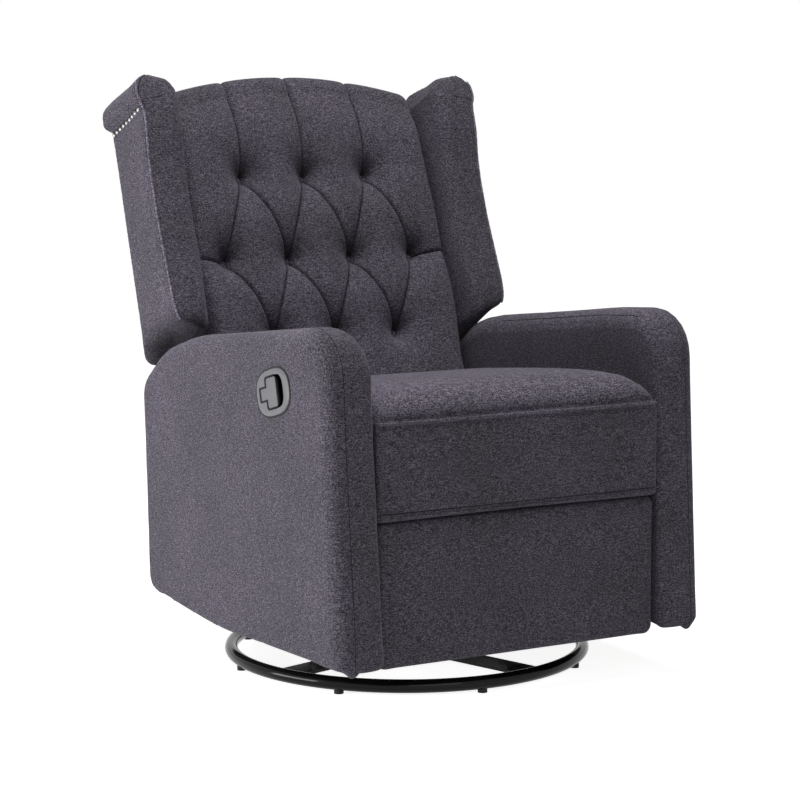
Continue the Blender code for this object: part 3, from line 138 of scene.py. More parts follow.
def softbox(name, place, target, size, power):
    """A flat white soft light that faces its target."""
    lamp = bpy.data.lights.new(name, "AREA")
    lamp.shape = "RECTANGLE"
    lamp.size, lamp.size_y = size
    lamp.energy = power
    obj = bpy.data.objects.new(name, lamp)
    obj.location = place
    obj.rotation_euler = (Vector(target) - Vector(place)).to_track_quat("-Z", "Y").to_euler()
    obj.visible_camera = False
    scene.collection.objects.link(obj)


softbox("side_light", (-2.6, 0.45, 0.40), (0.0, 0.0, 0.45), (1.5, 0.75), 46.0)
softbox("top_light", (-0.2, -0.2, 3.0), (0.0, 0.0, 0.4), (2.0, 2.0), 51.0)
softbox("front_light", (-0.6, -2.6, 1.5), (0.0, 0.0, 0.5), (1.6, 1.6), 11.0)


# Ring base: a steel tube rolled into a ring, sprayed gloss black, on eight rubber glides, with two flat
# bars welded across inside it. The ring is spun anew, so that its outline stays round.
def shell(name, bm, finish, body):
    """A finished mesh as a piece with its material, which rides on its body where it has just one."""
    bmesh.ops.remove_doubles(bm, verts=bm.verts, dist=1e-6)
    bmesh.ops.recalc_face_normals(bm, faces=bm.faces)
    mesh = bpy.data.meshes.new(name)
    bm.to_mesh(mesh)
    bm.free()
    mesh.shade_smooth()
    mesh.materials.append(finish)
    obj = bpy.data.objects.new(name, mesh)
    scene.collection.objects.link(obj)
    if body:
        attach(obj, body)
    return obj


def finish_of(name, roughness, specular=0.5, metallic=0.0):
    """A new material with its tree, its shader and the object's own coordinates."""
    made = bpy.data.materials.new(name)
    made.use_nodes = True
    tree = made.node_tree
    core = tree.nodes["Principled BSDF"]
    core.inputs["Roughness"].default_value = roughness
    core.inputs["Specular IOR Level"].default_value = specular
    core.inputs["Metallic"].default_value = metallic
    place = node(tree, "TexCoord").outputs["Object"]
    return made, tree, core, place


def grain(tree, place, scale, detail=2.0, stretch=(1.0, 1.0, 1.0)):
    """A noise over the object, stretched along an axis where the stretch is small."""
    turn = node(tree, "Mapping", Scale=stretch)
    tree.links.new(place, turn.inputs["Vector"])
    noise = node(tree, "TexNoise", Scale=scale, Detail=detail)
    tree.links.new(turn.outputs[0], noise.inputs["Vector"])
    return noise.outputs["Fac"]


def shades(tree, value, *stops):
    """Colours along a value, each stop a place and a colour."""
    scale = node(tree, "ValToRGB")
    band = scale.color_ramp
    while len(band.elements) < len(stops):
        band.elements.new(0.5)
    for element, (at, colour) in zip(band.elements, stops):
        element.position = at
        element.color = (*colour, 1.0)
    tree.links.new(value, scale.inputs["Fac"])
    return scale.outputs["Color"]


def span(tree, value, low, high, start=0.0, end=1.0):
    """A value taken from one range to another."""
    remap = node(tree, "MapRange", From_Min=start, From_Max=end, To_Min=low, To_Max=high)
    tree.links.new(value, remap.inputs["Value"])
    return remap.outputs["Result"]


def tinted(tree, core, value, *stops):
    """Colours along a value as the colour of a finish."""
    tree.links.new(shades(tree, value, *stops), core.inputs["Base Color"])


def roughened(tree, core, value, low, high, start=0.0, end=1.0):
    """A value, taken from one range to another, as the roughness of a finish."""
    tree.links.new(span(tree, value, low, high, start, end), core.inputs["Roughness"])


def relief(tree, core, height, depth, strength):
    """The height as a bump of that depth in metres."""
    bump = node(tree, "Bump", Strength=strength, Distance=depth)
    tree.links.new(height, bump.inputs["Height"])
    tree.links.new(bump.outputs["Normal"], core.inputs["Normal"])


def paint(finish, *names):
    """Carried-over CAD nodes with a finished material."""
    for name in names:
        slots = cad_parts[name].data.materials
        slots.clear()
        slots.append(finish)


gloss_black, tree, core, place = finish_of("gloss_black_enamel", 0.1, 0.16)
tone = grain(tree, place, 30.0)
tinted(tree, core, tone, (0.3, (0.0035, 0.0035, 0.004)), (0.7, (0.007, 0.007, 0.0075)))
roughened(tree, core, grain(tree, place, 14.0, 4.0), 0.07, 0.16)
relief(tree, core, grain(tree, place, 260.0), 0.0001, 0.12)

ring_r, ring_z, tube_r = 0.3110, 0.0167, 0.0115
bm = bmesh.new()
turn = Matrix.Translation((ring_r, 0.0, ring_z)) @ Matrix.Rotation(math.pi / 2, 4, "X")
bmesh.ops.create_circle(bm, segments=28, radius=tube_r, matrix=turn)
outline = bm.verts[:] + bm.edges[:]
axle = {"cent": (0, 0, 0), "axis": (0, 0, 1), "angle": 2 * math.pi}
bmesh.ops.spin(bm, geom=outline, steps=160, use_merge=True, **axle)
ring = shell("ring", bm, gloss_black, "base")
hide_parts("base_ring")
paint(gloss_black, "base_spider")

rubber, tree, core, place = finish_of("black_rubber", 0.7, 0.3)
tone = grain(tree, place, 160.0, 3.0)
tinted(tree, core, tone, (0.3, (0.010, 0.010, 0.010)), (0.7, (0.020, 0.020, 0.021)))
relief(tree, core, tone, 0.0004, 0.4)
paint(rubber, *[f"base_glide_{k}" for k in range(1, 9)], "arm_glide_left", "arm_glide_right")

# Swivel, rocker and links: pressed steel plates and flat links with rivets, powder-coated satin black,
# scuffed where they rub. They are the CAD's own plates and links.
satin_black, tree, core, place = finish_of("satin_black_steel", 0.45)
scuff = grain(tree, place, 55.0, 6.0)
wear = ((0.30, (0.018, 0.018, 0.019)), (0.62, (0.034, 0.034, 0.036)), (0.80, (0.085, 0.083, 0.080)))
tinted(tree, core, scuff, *wear)
roughened(tree, core, scuff, 0.62, 0.36, 0.3, 0.75)
relief(tree, core, grain(tree, place, 900.0), 0.0002, 0.3)
paint(satin_black, "swivel_lower_plate", "swivel_upper_plate")
paint(satin_black, "cross_tube_front", "cross_tube_rear", "drive_tube")
pairs = ("rocker_bracket", "base_rail", "seat_plate", "drive_link", "control_link", "ottoman_link")
for name in pairs + ("support_link", "footrest_bracket", "hinge_plate"):
    paint(satin_black, name + "_left", name + "_right")

# Springs: four coils of bright steel wire between the swivel plate and the rails, which stretch and
# shorten as the chair rocks, and the bearing race and the wire deck of the same steel.
bright_wire, tree, core, place = finish_of("spring_steel", 0.35, 0.5, 1.0)
tone = grain(tree, place, 90.0, 5.0)
tinted(tree, core, tone, (0.3, (0.30, 0.30, 0.31)), (0.7, (0.46, 0.46, 0.47)))
roughened(tree, core, tone, 0.26, 0.46)
paint(bright_wire, "swivel_bearing", "seat_spring_deck")


def tube(name, points, radius, finish, body, sides=3, closed=False):
    """A round cord or wire along points, as a mesh."""
    curve = bpy.data.curves.new(name, "CURVE")
    curve.dimensions = "3D"
    curve.bevel_depth = radius
    curve.bevel_resolution = sides
    curve.use_fill_caps = not closed
    line = curve.splines.new("POLY")
    line.points.add(len(points) - 1)
    for spot, point in zip(line.points, points):
        spot.co = (*point, 1.0)
    line.use_cyclic_u = closed
    maker = bpy.data.objects.new(name, curve)
    scene.collection.objects.link(maker)
    mesh = bpy.data.meshes.new_from_object(maker.evaluated_get(bpy.context.evaluated_depsgraph_get()))
    bpy.data.objects.remove(maker)
    bpy.data.curves.remove(curve)
    bm = bmesh.new()
    bm.from_mesh(mesh)
    bpy.data.meshes.remove(mesh)
    return shell(name, bm, finish, body)


spring_r, wire_r, spring_low, spring_high, turns = 0.0125, 0.0018, 0.0563, 0.1496, 5.0
spring_x, spring_y, flat_end, coil_steps = 0.119, 0.105, 0.11, 240
for label, x in (("left", spring_x), ("right", -spring_x)):
    for end, y in (("front", -spring_y), ("rear", spring_y)):
        points = []
        for k in range(coil_steps + 1):
            share = k / coil_steps
            rise = min(1.0, max(0.0, (share - flat_end) / (1 - 2 * flat_end)))
            angle = 2 * math.pi * (turns + 2) * share
            z = spring_low + wire_r + (spring_high - spring_low - 2 * wire_r) * rise
            points.append((x + spring_r * math.cos(angle), y + spring_r * math.sin(angle), z))
        spring = tube(f"spring_{end}_{label}", points, wire_r, bright_wire, None)
        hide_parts(f"rocker_spring_{end}_{label}")
        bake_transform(spring)


# Timber: the boards inside the arms, the seat frame and the footrest's board are sawn plywood and pine,
# with the grain along them. The back frame's timber is painted near black as shade, because its edge
# shows in the gap beside the wings.
def sawn(name, *tones):
    """Timber with its grain along Y, in three tones from the dark streaks to the pale ones."""
    made, tree, core, place = finish_of(name, 0.7, 0.3)
    streak = grain(tree, place, 46.0, 5.0, (1.0, 0.10, 1.0))
    tinted(tree, core, streak, *zip((0.32, 0.52, 0.70), tones))
    roughened(tree, core, streak, 0.8, 0.6)
    relief(tree, core, streak, 0.0005, 0.4)
    return made


timber = sawn("sawn_timber", (0.36, 0.24, 0.13), (0.52, 0.37, 0.22), (0.62, 0.47, 0.30))
paint(timber, "arm_board_left", "arm_board_right", "seat_frame", "footrest_board")
# Painted shade: the back frame's timber is painted near black.
shade_black_timber = sawn("timber_painted_black_shade", (0.010, 0.009, 0.009), (0.016, 0.014, 0.014), (0.024, 0.021, 0.020))
paint(shade_black_timber, "back_frame")


# Cloth: one charcoal melange weave covers every padded piece, a plain weave of mixed dark and pale yarns
# with a purple-grey cast, short nubs and a dry, faintly fuzzy face.
def weave(name, gain, painted_shade_name=None, painted_light_name=None):
    """The cloth, paler by a gain, painted nearly black as shade where the shade attribute is high
    and painted paler as light where the light attribute is high.

    Both are the names of attributes of the mesh. A gain above 1 paints a highlight.
    """
    made, tree, core, place = finish_of(name, 0.93, 0.12)
    core.inputs["Sheen Weight"].default_value = 0.18
    core.inputs["Sheen Roughness"].default_value = 0.45
    core.inputs["Sheen Tint"].default_value = (0.80, 0.77, 0.90, 1.0)
    fleck = grain(tree, place, 520.0, 2.0, (0.72, 0.72, 1.15))
    nub = grain(tree, place, 900.0, 1.0)
    pick = grain(tree, place, 520.0, 1.0, (0.22, 0.22, 1.0))
    mixed = node(tree, "Math", {"operation": "MULTIPLY_ADD"})
    tree.links.new(nub, mixed.inputs[0])
    mixed.inputs[1].default_value = 0.45
    tree.links.new(fleck, mixed.inputs[2])
    woven = node(tree, "Math", {"operation": "MULTIPLY_ADD"})
    tree.links.new(pick, woven.inputs[0])
    woven.inputs[1].default_value = 0.35
    tree.links.new(mixed.outputs[0], woven.inputs[2])
    yarns = ((0.12, (0.024, 0.021, 0.027)), (0.50, (0.084, 0.077, 0.096)), (0.88, (0.228, 0.214, 0.252)))
    stops = [(at, tuple(gain * part for part in colour)) for at, colour in yarns]
    yarn = shades(tree, span(tree, woven.outputs[0], 0.0, 1.0, 0.62, 1.18), *stops)
    cast = node(tree, "Mix", {"data_type": "RGBA", "blend_type": "MULTIPLY"})
    cast.inputs["Factor"].default_value = 1.0
    tree.links.new(yarn, cast.inputs["A"])
    broad = grain(tree, place, 7.0, 2.0)
    drift = shades(tree, broad, (0.35, (0.90, 0.89, 0.88)), (0.65, (1.06, 1.03, 1.08)))
    tree.links.new(drift, cast.inputs["B"])
    colour = cast.outputs["Result"]
    # Painted shade: the colour is mixed towards near black by the shade attribute.
    if painted_shade_name:
        layer = node(tree, "Attribute", {"attribute_name": painted_shade_name})
        painted_dark = node(tree, "Mix", {"data_type": "RGBA"})
        tree.links.new(layer.outputs["Fac"], painted_dark.inputs["Factor"])
        tree.links.new(colour, painted_dark.inputs["A"])
        painted_dark.inputs["B"].default_value = (0.006, 0.006, 0.007, 1.0)
        colour = painted_dark.outputs["Result"]
    # Painted light: the colour is made up to 1.5 times paler by the light attribute.
    if painted_light_name:
        layer = node(tree, "Attribute", {"attribute_name": painted_light_name})
        paler = node(tree, "VectorMath", {"operation": "SCALE"})
        tree.links.new(colour, paler.inputs[0])
        tree.links.new(span(tree, layer.outputs["Fac"], 1.0, 1.5), paler.inputs["Scale"])
        colour = paler.outputs["Vector"]
    tree.links.new(colour, core.inputs["Base Color"])
    relief(tree, core, woven.outputs[0], 0.0011, 0.55)
    return made


# The piping and welt cloths are the same cloth painted 1.3 and 1.9 times paler, a painted highlight.
cloth, cord, welt = weave("charcoal_cloth", 1.0), weave("piping_cloth_painted_highlight", 1.3), weave("welt_cloth_painted_highlight", 1.9)
# Painted light: this cloth is painted paler where its light attribute is high.
light_painted_cloth = weave("cloth_with_painted_light", 1.0, painted_light_name="painted_light")
thread, tree, core, place = finish_of("dark_thread", 0.9, 0.2)
tone = grain(tree, place, 700.0)
tinted(tree, core, tone, (0.3, (0.010, 0.009, 0.011)), (0.7, (0.030, 0.027, 0.033)))


def ramp(value, run):
    """From 0 to 1 while a value goes from 0 up to its run."""
    return np.clip(value / run, 0, 1)


def hump(value, width):
    """1 where a value is 0, falling away on both sides."""
    return np.exp(-((value / width) ** 2))


def places(mesh):
    """Every point of a mesh as rows of an array."""
    spots = np.empty(len(mesh.vertices) * 3)
    mesh.vertices.foreach_get("co", spots)
    return spots.reshape(-1, 3)


def put(mesh, spots):
    """The points of a mesh moved to the rows of an array."""
    mesh.vertices.foreach_set("co", np.ascontiguousarray(spots, dtype=np.float32).ravel())
    mesh.update()


def mark(mesh, name, values):
    """A value for each point of a mesh, under a name that its material reads."""
    layer = mesh.attributes.new(name, "FLOAT", "POINT")
    layer.data.foreach_set("value", values.ravel().astype(np.float32))


def paint_top_light(obj, height, rise, share):
    """The top of a piece, from a height up, in the cloth with painted light that makes it paler."""
    mark(obj.data, "painted_light", share * ramp(places(obj.data)[:, 2] - height, rise))
    obj.data.materials[0] = light_painted_cloth


def applied(obj):
    """The object with its modifiers made part of its mesh."""
    made = bpy.data.meshes.new_from_object(obj.evaluated_get(bpy.context.evaluated_depsgraph_get()))
    obj.modifiers.clear()
    obj.data = made
    return obj


def cover(name, node_name, drawn_in, voxel, rounds):
    """A padded CAD solid as a closed sack of even squares, a little smaller and with its facets eased."""
    bm = bmesh.new()
    bm.from_mesh(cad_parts[node_name].data)
    bmesh.ops.remove_doubles(bm, verts=bm.verts, dist=1e-5)
    bmesh.ops.recalc_face_normals(bm, faces=bm.faces)
    bm.normal_update()
    inward = [vert.normal * drawn_in for vert in bm.verts]
    for vert, step in zip(bm.verts, inward):
        vert.co -= step
    mesh = bpy.data.meshes.new(name)
    bm.to_mesh(mesh)
    bm.free()
    obj = bpy.data.objects.new(name, mesh)
    scene.collection.objects.link(obj)
    even = obj.modifiers.new("even", "REMESH")
    even.mode = "VOXEL"
    even.voxel_size = voxel
    ease = obj.modifiers.new("ease", "SMOOTH")
    ease.factor = 0.5
    ease.iterations = rounds
    return applied(obj)


def stuffed(obj, held, cap, pressure):
    """Cloth blown up from inside, kept where held gives 1, with no point moved further than the cap."""
    start = places(obj.data)
    group = obj.vertex_groups.new(name="held")
    weights = held(start)
    for level_of in np.unique(weights.round(2)):
        if level_of > 0:
            chosen = np.flatnonzero(weights.round(2) == level_of).tolist()
            group.add(chosen, float(level_of), "REPLACE")
    stuffing = obj.modifiers.new("stuffing", "CLOTH")
    made = stuffing.settings
    made.quality = 4
    made.mass = 0.3
    made.use_pressure = True
    made.uniform_pressure_force = pressure
    made.effector_weights.gravity = 0.0
    made.vertex_group_mass = "held"
    stuffing.collision_settings.use_collision = False
    stuffing.point_cache.frame_start, stuffing.point_cache.frame_end = 1, 20
    for step in range(1, 21):
        scene.frame_set(step)
    end = places(obj.evaluated_get(bpy.context.evaluated_depsgraph_get()).data)
    obj.modifiers.remove(stuffing)
    obj.vertex_groups.clear()
    scene.frame_set(1)
    move = end - start
    length = np.maximum(np.linalg.norm(move, axis=1), 1e-9)
    put(obj.data, start + move * (cap * np.tanh(length / cap) / length)[:, None])
    return obj


def finer(obj):
    """One subdivision, made part of the mesh."""
    smooth = obj.modifiers.new("finer", "SUBSURF")
    smooth.levels = smooth.render_levels = 1
    return applied(obj)


def settled(obj, node_name, proud, fill):
    """The sack drawn out by a share toward a skin that stands a little proud of its CAD solid."""
    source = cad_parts[node_name].data
    tree = BVHTree.FromPolygons([v.co for v in source.vertices], [p.vertices[:] for p in source.polygons])
    spots = places(obj.data)
    limit = proud(spots) if callable(proud) else np.full(len(spots), proud)
    for index, spot in enumerate(spots):
        near, normal, face, gap = tree.find_nearest(Vector(spot))
        way = Vector(spot) - near
        out = gap if way.dot(normal) > 0 else -gap
        outward = way / out if gap > 1e-5 else normal
        spots[index] = near + outward * min(limit[index], out + fill * (limit[index] - out))
    put(obj.data, spots)
    return obj


def upholstered(obj, body, fill, *node_names):
    """A padded piece with its cloth, on its body, in place of its CAD solid."""
    obj.data.materials.clear()
    obj.data.materials.append(cloth)
    obj.data.shade_smooth()
    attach(obj, body)
    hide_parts(*node_names)
    return obj


def mirrored(obj, name):
    """The same sack on the other side of the chair."""
    bm = bmesh.new()
    bm.from_mesh(obj.data)
    bmesh.ops.scale(bm, vec=(-1.0, 1.0, 1.0), verts=bm.verts)
    bmesh.ops.reverse_faces(bm, faces=bm.faces)
    mesh = bpy.data.meshes.new(name)
    bm.to_mesh(mesh)
    bm.free()
    twin = bpy.data.objects.new(name, mesh)
    scene.collection.objects.link(twin)
    return twin


def skin(obj):
    """A tree of the mesh's faces, to lay seams on."""
    spots = [vert.co for vert in obj.data.vertices]
    return BVHTree.FromPolygons(spots, [face.vertices[:] for face in obj.data.polygons])


# Arms: upright track arms, foam over a board, covered with a big outer panel and a strip that runs over
# the top and down the front. The seam between them ends in a small tuck of cloth at the foot.
arm = cover("arm_left", "arm_cover_left", 0.0, 0.0070, 2)
arm = stuffed(arm, lambda p: np.zeros(len(p)), 0.005, 1.5)
settled(finer(arm), "arm_cover_left", 0.0003, 0.85)
spots = places(arm.data)
x, y, z = spots.T
tip = hump(x - 0.329, 0.012) * hump(y + 0.389, 0.020)
hem = hump(y + 0.392, 0.030) * ramp(0.325 - x, 0.01)
z -= ramp(0.15 - z, 0.05) * np.maximum(0.0135 * tip, 0.0065 * hem)
z -= 0.005 * ramp(0.20 - z, 0.08) * ramp(y + 0.10, 0.25)
put(arm.data, spots)
other = mirrored(arm, "arm_right")
upper, fore = ramp(z - 0.42, 0.12) * ramp(0.36 - y, 0.06), ramp(-0.30 - y, 0.06)
worn = places(other.data)
worn[:, 2] -= upper * (0.004 + 0.008 * hump(y - 0.195, 0.055))
worn[:, 1] -= fore * (0.004 + 0.008 * ramp(0.45 - z, 0.30))
z += upper * (0.0015 + 0.004 * hump(y - 0.245, 0.040))
z -= 0.006 * upper * ramp(-0.20 - y, 0.12)
y += 0.003 * fore
put(arm.data, spots)

# The right arm is sunk under the handle's oval, which is tilted and a little smaller than the bezel.
handle_y, handle_z, handle_tilt, oval_power = -0.190, 0.509, math.radians(14.0), 2.6
cos_tilt, sin_tilt = math.cos(handle_tilt), math.sin(handle_tilt)
along = (worn[:, 1] - handle_y) * cos_tilt - (worn[:, 2] - handle_z) * sin_tilt
up = (worn[:, 1] - handle_y) * sin_tilt + (worn[:, 2] - handle_z) * cos_tilt
oval = (np.abs(along / 0.0535) ** oval_power + np.abs(up / 0.034) ** oval_power) ** (1 / oval_power)
worn[(oval < 1.0) & (worn[:, 0] < -0.335), 0] = -0.3318
put(other.data, worn)

arm_middle, top_seam_x, seam_sink = (-0.05, 0.36), 0.2815, 0.0003


def lay(tree, x, turn_from, turn_to, count):
    """Points round the arm's outline at one X, found from outside along rays to its middle."""
    points = []
    for k in range(count):
        angle = math.radians(turn_from + (turn_to - turn_from) * k / (count - 1))
        way = Vector((0.0, math.cos(angle), math.sin(angle)))
        hit = tree.ray_cast(Vector((x, *arm_middle)) + way, -way)
        if hit[0] is not None:
            points.append(hit[0] - hit[1] * seam_sink)
    return points


for obj, label, side, edge_x, rear_turn in ((arm, "left", 1, 0.334, 50), (other, "right", -1, 0.327, 62)):
    upholstered(obj, "chassis", 0.85, f"arm_cover_{label}")
    # Painted light: the arm tops are painted paler towards the top.
    paint_top_light(obj, 0.590, 0.025, 0.5)
    tree = skin(obj)
    path = lay(tree, side * edge_x, 48, 219, 150)
    tube(f"arm_front_seam_{label}", path, 0.0007, thread, "chassis")
    path = lay(tree, side * top_seam_x, rear_turn, 135, 90)
    tube(f"arm_top_seam_{label}", path, 0.0008, thread, "chassis")

# Release handle: a moulded grey bezel pressed into the right arm, with a flush T lever that is pulled
# out by its head from the finger slot in front of it. Black rubber beads round the bezel and along both
# sides of the lever's gap are painted shade for the shadow lines there.
grey_plastic, tree, core, place = finish_of("grey_plastic", 0.42)
tone = grain(tree, place, 240.0, 3.0)
# Painted shade: the plastic is painted nearly black deeper than the bezel's face, in its well.
parted = node(tree, "SeparateXYZ")
tree.links.new(place, parted.inputs["Vector"])
well_shade = node(tree, "Mix", {"data_type": "RGBA"})
tree.links.new(span(tree, parted.outputs["X"], 0.0, 1.0, -0.3592, -0.3566), well_shade.inputs["Factor"])
greys = shades(tree, tone, (0.3, (0.122, 0.121, 0.134)), (0.7, (0.150, 0.148, 0.162)))
tree.links.new(greys, well_shade.inputs["A"])
well_shade.inputs["B"].default_value = (0.004, 0.004, 0.005, 1.0)
tree.links.new(well_shade.outputs["Result"], core.inputs["Base Color"])
roughened(tree, core, tone, 0.36, 0.50)
relief(tree, core, grain(tree, place, 1500.0), 0.0002, 0.35)
paint(grey_plastic, "handle_bezel", "release_lever")


def on_handle(x, along, up):
    """A point of the tilted handle, along it and across it from its middle."""
    y = handle_y + along * cos_tilt + up * sin_tilt
    return (x, y, handle_z - along * sin_tilt + up * cos_tilt)


# Painted shade: a black rubber ring round the bezel stands for the shadow line at its edge.
rim = []
for k in range(72):
    c, d = math.cos(math.pi * k / 36), math.sin(math.pi * k / 36)
    swell = (abs(c) ** oval_power + abs(d) ** oval_power) ** (-1 / oval_power)
    rim.append(on_handle(-0.3573, 0.0584 * c * swell, 0.0389 * d * swell))
tube("bezel_shadow_ring", rim, 0.0018, rubber, "chassis", closed=True)
# Painted shade: black rubber beads along both sides of the lever's gap stand for the shadow lines in it.
gap_shadow_x, gap_shadow_r, head_front = -0.3608, 0.0009, -0.012
for name, body, clear in (("bezel_gap_shadow", "chassis", 0.0020), ("lever_gap_shadow", "lever", 0.0)):
    neck, stem, head, end = 0.018 + clear, 0.010 + clear, 0.025 + clear, 0.040 + clear
    gap_shadow_path = [(head_front, head), (neck - 0.005, head), (neck - 0.0015, head - 0.0015), (neck, head - 0.005)]
    gap_shadow_path += [(neck, stem), (end - 0.0025, stem), (end - 0.0007, stem - 0.0007), (end, stem - 0.0025)]
    gap_shadow_path += [(along, -up) for along, up in reversed(gap_shadow_path)]
    tube(name, [on_handle(gap_shadow_x, *spot) for spot in gap_shadow_path], gap_shadow_r, rubber, body)

# Seat: one crowned foam cushion with a waterfall front, whose top and boxing meet in a piping; the
# boxing is closed with a second piping along the foot.
seat_under, seat_rear = 0.362, 0.125
seat = cover("seat", "seat_cushion", 0.0, 0.0065, 2)


def seat_held(p):
    """What stays put: the underside behind the front, the rear, and in part the sides."""
    under = (p[:, 2] < seat_under) & (p[:, 1] > -0.338)
    rear = p[:, 1] > seat_rear
    return np.where(under | rear, 1.0, np.clip((np.abs(p[:, 0]) - 0.245) / 0.02, 0, 0.7))


def seat_skin(p):
    """How far the cloth may stand out from the solid."""
    return np.where((p[:, 2] < seat_under) & (p[:, 1] > -0.340) | (p[:, 1] > seat_rear), 0.0, 0.0028)


seat = stuffed(seat, seat_held, 0.012, 4.0)
settled(finer(seat), "seat_cushion", seat_skin, 0.7)
spots = places(seat.data)
x, y, z = spots.T
front = ramp(-0.345 - y, 0.01)
for seam_z, deep, wide in ((0.4765, 0.0030, 0.0040), (0.4650, 0.0022, 0.0030), (0.3275, 0.0018, 0.0026)):
    y += deep * front * hump(z - seam_z, wide)
z += 0.005 * ramp(z - 0.48, 0.03)
y += 0.0016 * front * hump(x + 0.06, 0.007) * (z < 0.462)
put(seat.data, spots)
upholstered(seat, "chassis", 0.8, "seat_cushion")
# Painted light: the seat top is painted paler towards the top.
paint_top_light(seat, 0.478, 0.022, 1.0)
tree = skin(seat)


def front_line(tree, z, back_run, rise, half=0.2610, inset=0.006, count=100):
    """Points along the front of the seat at one height, turned round both corners."""
    points = []
    for k in range(count):
        x = half * (2 * k / (count - 1) - 1)
        hit = tree.ray_cast(Vector((x, -0.6, z)), Vector((0, 1, 0)))
        if hit[0] is not None:
            points.append(hit[0] + Vector((0.0, -rise, 0.0)))
    ends = []
    for end, side in ((points[0], -1), (points[-1], 1)):
        turn = [(0.4, 0.15), (0.8, 0.55), (1.0, 1.2)]
        run = [end + Vector((side * inset * a, inset * b, 0.0)) for a, b in turn]
        run += [end + Vector((side * inset, inset * 1.2 + back_run * t / 6, 0.0)) for t in range(1, 7)]
        ends.append(run)
    return ends[0][::-1] + points + ends[1]


for name, line_z, back_run, rise, radius, finish in (
    ("seat_piping_top", 0.4708, 0.30, 0.0006, 0.0029, cord),
    ("seat_hem_stitch", 0.3275, 0.02, 0.0002, 0.0008, thread),
    ("seat_piping_foot", 0.3205, 0.02, 0.0002, 0.0030, cloth),
):
    tube(name, front_line(tree, line_z, back_run, rise), radius, finish, "chassis")

# Footrest panel: a thin foam pad pulled over a plywood board and stapled behind it, flat and plain, so
# that it closes the front below the seat when it is folded in.
pad = cover("footrest", "footrest_pad", 0.0, 0.0050, 2)
pad = stuffed(pad, lambda p: ramp(p[:, 1] + 0.358, 0.006), 0.005, 2.0)
settled(finer(pad), "footrest_pad", lambda p: np.where(p[:, 1] > -0.350, 0.0, 0.0012), 0.75)
upholstered(pad, "footrest", 0.7, "footrest_pad")

# Back: a deep-buttoned cushion over the back frame. Ten buttons in three rows pull it in, the cloth is
# folded into pleats between them and from the top row up over the crown.
lean = math.radians(23.5)
hinge = Vector((0.0, 0.240, 0.360))
pitch, tuft_n, bulge = 0.130, 0.042, 0.052
rows = ((0.175, 3), (0.326, 4), (0.488, 3))
buttons = [((k - (count - 1) / 2) * pitch, s) for s, count in rows for k in range(count)]
half, foot, crown, curve_of, brow_r, side_r = 0.2655, -0.030, 0.6940, 0.57, 0.041, 0.026
taper = lean - math.radians(15.75)
cos_lean, sin_lean = math.cos(lean), math.sin(lean)
floor_n, rear_n, ledge_s = 0.0600, 0.030, 0.5975


def back_space(x, n, s):
    """A point of the back, forward and up from the hinge on its rake, in the chair's frame."""
    return hinge + Vector((x, sin_lean * s - cos_lean * n, cos_lean * s + sin_lean * n))


def rear_line(depth, s):
    """Where a plane along the rear lies at a height, by its depth behind the hinge."""
    return -depth / math.cos(taper) + math.tan(taper) * s


folds = []
for (low_s, _), (high_s, _) in zip(rows, rows[1:]):
    for ax in [x for x, s in buttons if s == low_s]:
        for bx in [x for x, s in buttons if s == high_s]:
            if abs(ax - bx) < 0.75 * pitch:
                bow = 0.006 * math.copysign(1.0, ax - bx)
                line = []
                for t in np.linspace(0, 1, 9):
                    fold_x = ax + (bx - ax) * t + bow * math.sin(math.pi * t)
                    line.append((fold_x, low_s + (high_s - low_s) * t))
                folds.append(line)
for x, s in buttons:
    if s == rows[-1][0]:
        folds.append([(x, s), (x, 0.80)])
    if abs(x) > 1.4 * pitch:
        folds.append([(x, s), (math.copysign(0.30, x), s + 0.004)])


def to_folds(x, s):
    """The distance from points of the face to the nearest pleat, and that pleat's nearest points."""
    near, fold_x, fold_s = np.full(x.shape, 1.0), x.copy(), s.copy()
    for line in folds:
        for (ax, ay), (bx, by) in zip(line, line[1:]):
            dx, dy = bx - ax, by - ay
            t = np.clip(((x - ax) * dx + (s - ay) * dy) / (dx * dx + dy * dy), 0, 1)
            gap = np.hypot(x - ax - t * dx, s - ay - t * dy)
            nearer = gap < near
            near = np.where(nearer, gap, near)
            fold_x, fold_s = np.where(nearer, ax + t * dx, fold_x), np.where(nearer, ay + t * dy, fold_s)
    return near, fold_x, fold_s


flat = np.linspace(-half + side_r, half - side_r, 196)
columns = np.concatenate([np.linspace(-half, flat[0], 13)[:-1], flat, np.linspace(flat[-1], half, 13)[1:]])
edge = ramp(half - np.abs(columns), side_r)
full = np.sqrt(1.0 - (1.0 - edge) ** 2)[:, None]
shoulder = (crown - brow_r - curve_of * columns**2)[:, None]
heights = foot + 0.008 + (shoulder - foot - 0.008) * np.linspace(0, 1, 276)[None, :]
x = np.repeat(columns[:, None], heights.shape[1], axis=1)
near, fold_x, fold_s = to_folds(x, heights)
caught = (near < 0.0014) & (np.abs(x) < half - side_r)
caught[:, [0, -1]] = False
x, heights = np.where(caught, fold_x, x), np.where(caught, fold_s, heights)
near = np.where(caught, 0.0, near)
from_button = np.min([np.hypot(x - bx, heights - bs) for bx, bs in buttons], axis=0)
pit = 1.0 - np.exp(-from_button / 0.027)
swell = bulge * full * pit * (1.0 - 0.12 * np.exp(-near / 0.015))
swell -= 0.0075 * full * np.exp(-near / 0.0017)
draw = 1.0 - np.maximum(0.0, (0.06 - heights) / 0.09) ** 2 * 0.5
face_n = (tuft_n + swell) * draw - 0.016 * full * ramp(heights - 0.555, shoulder - 0.555) ** 2
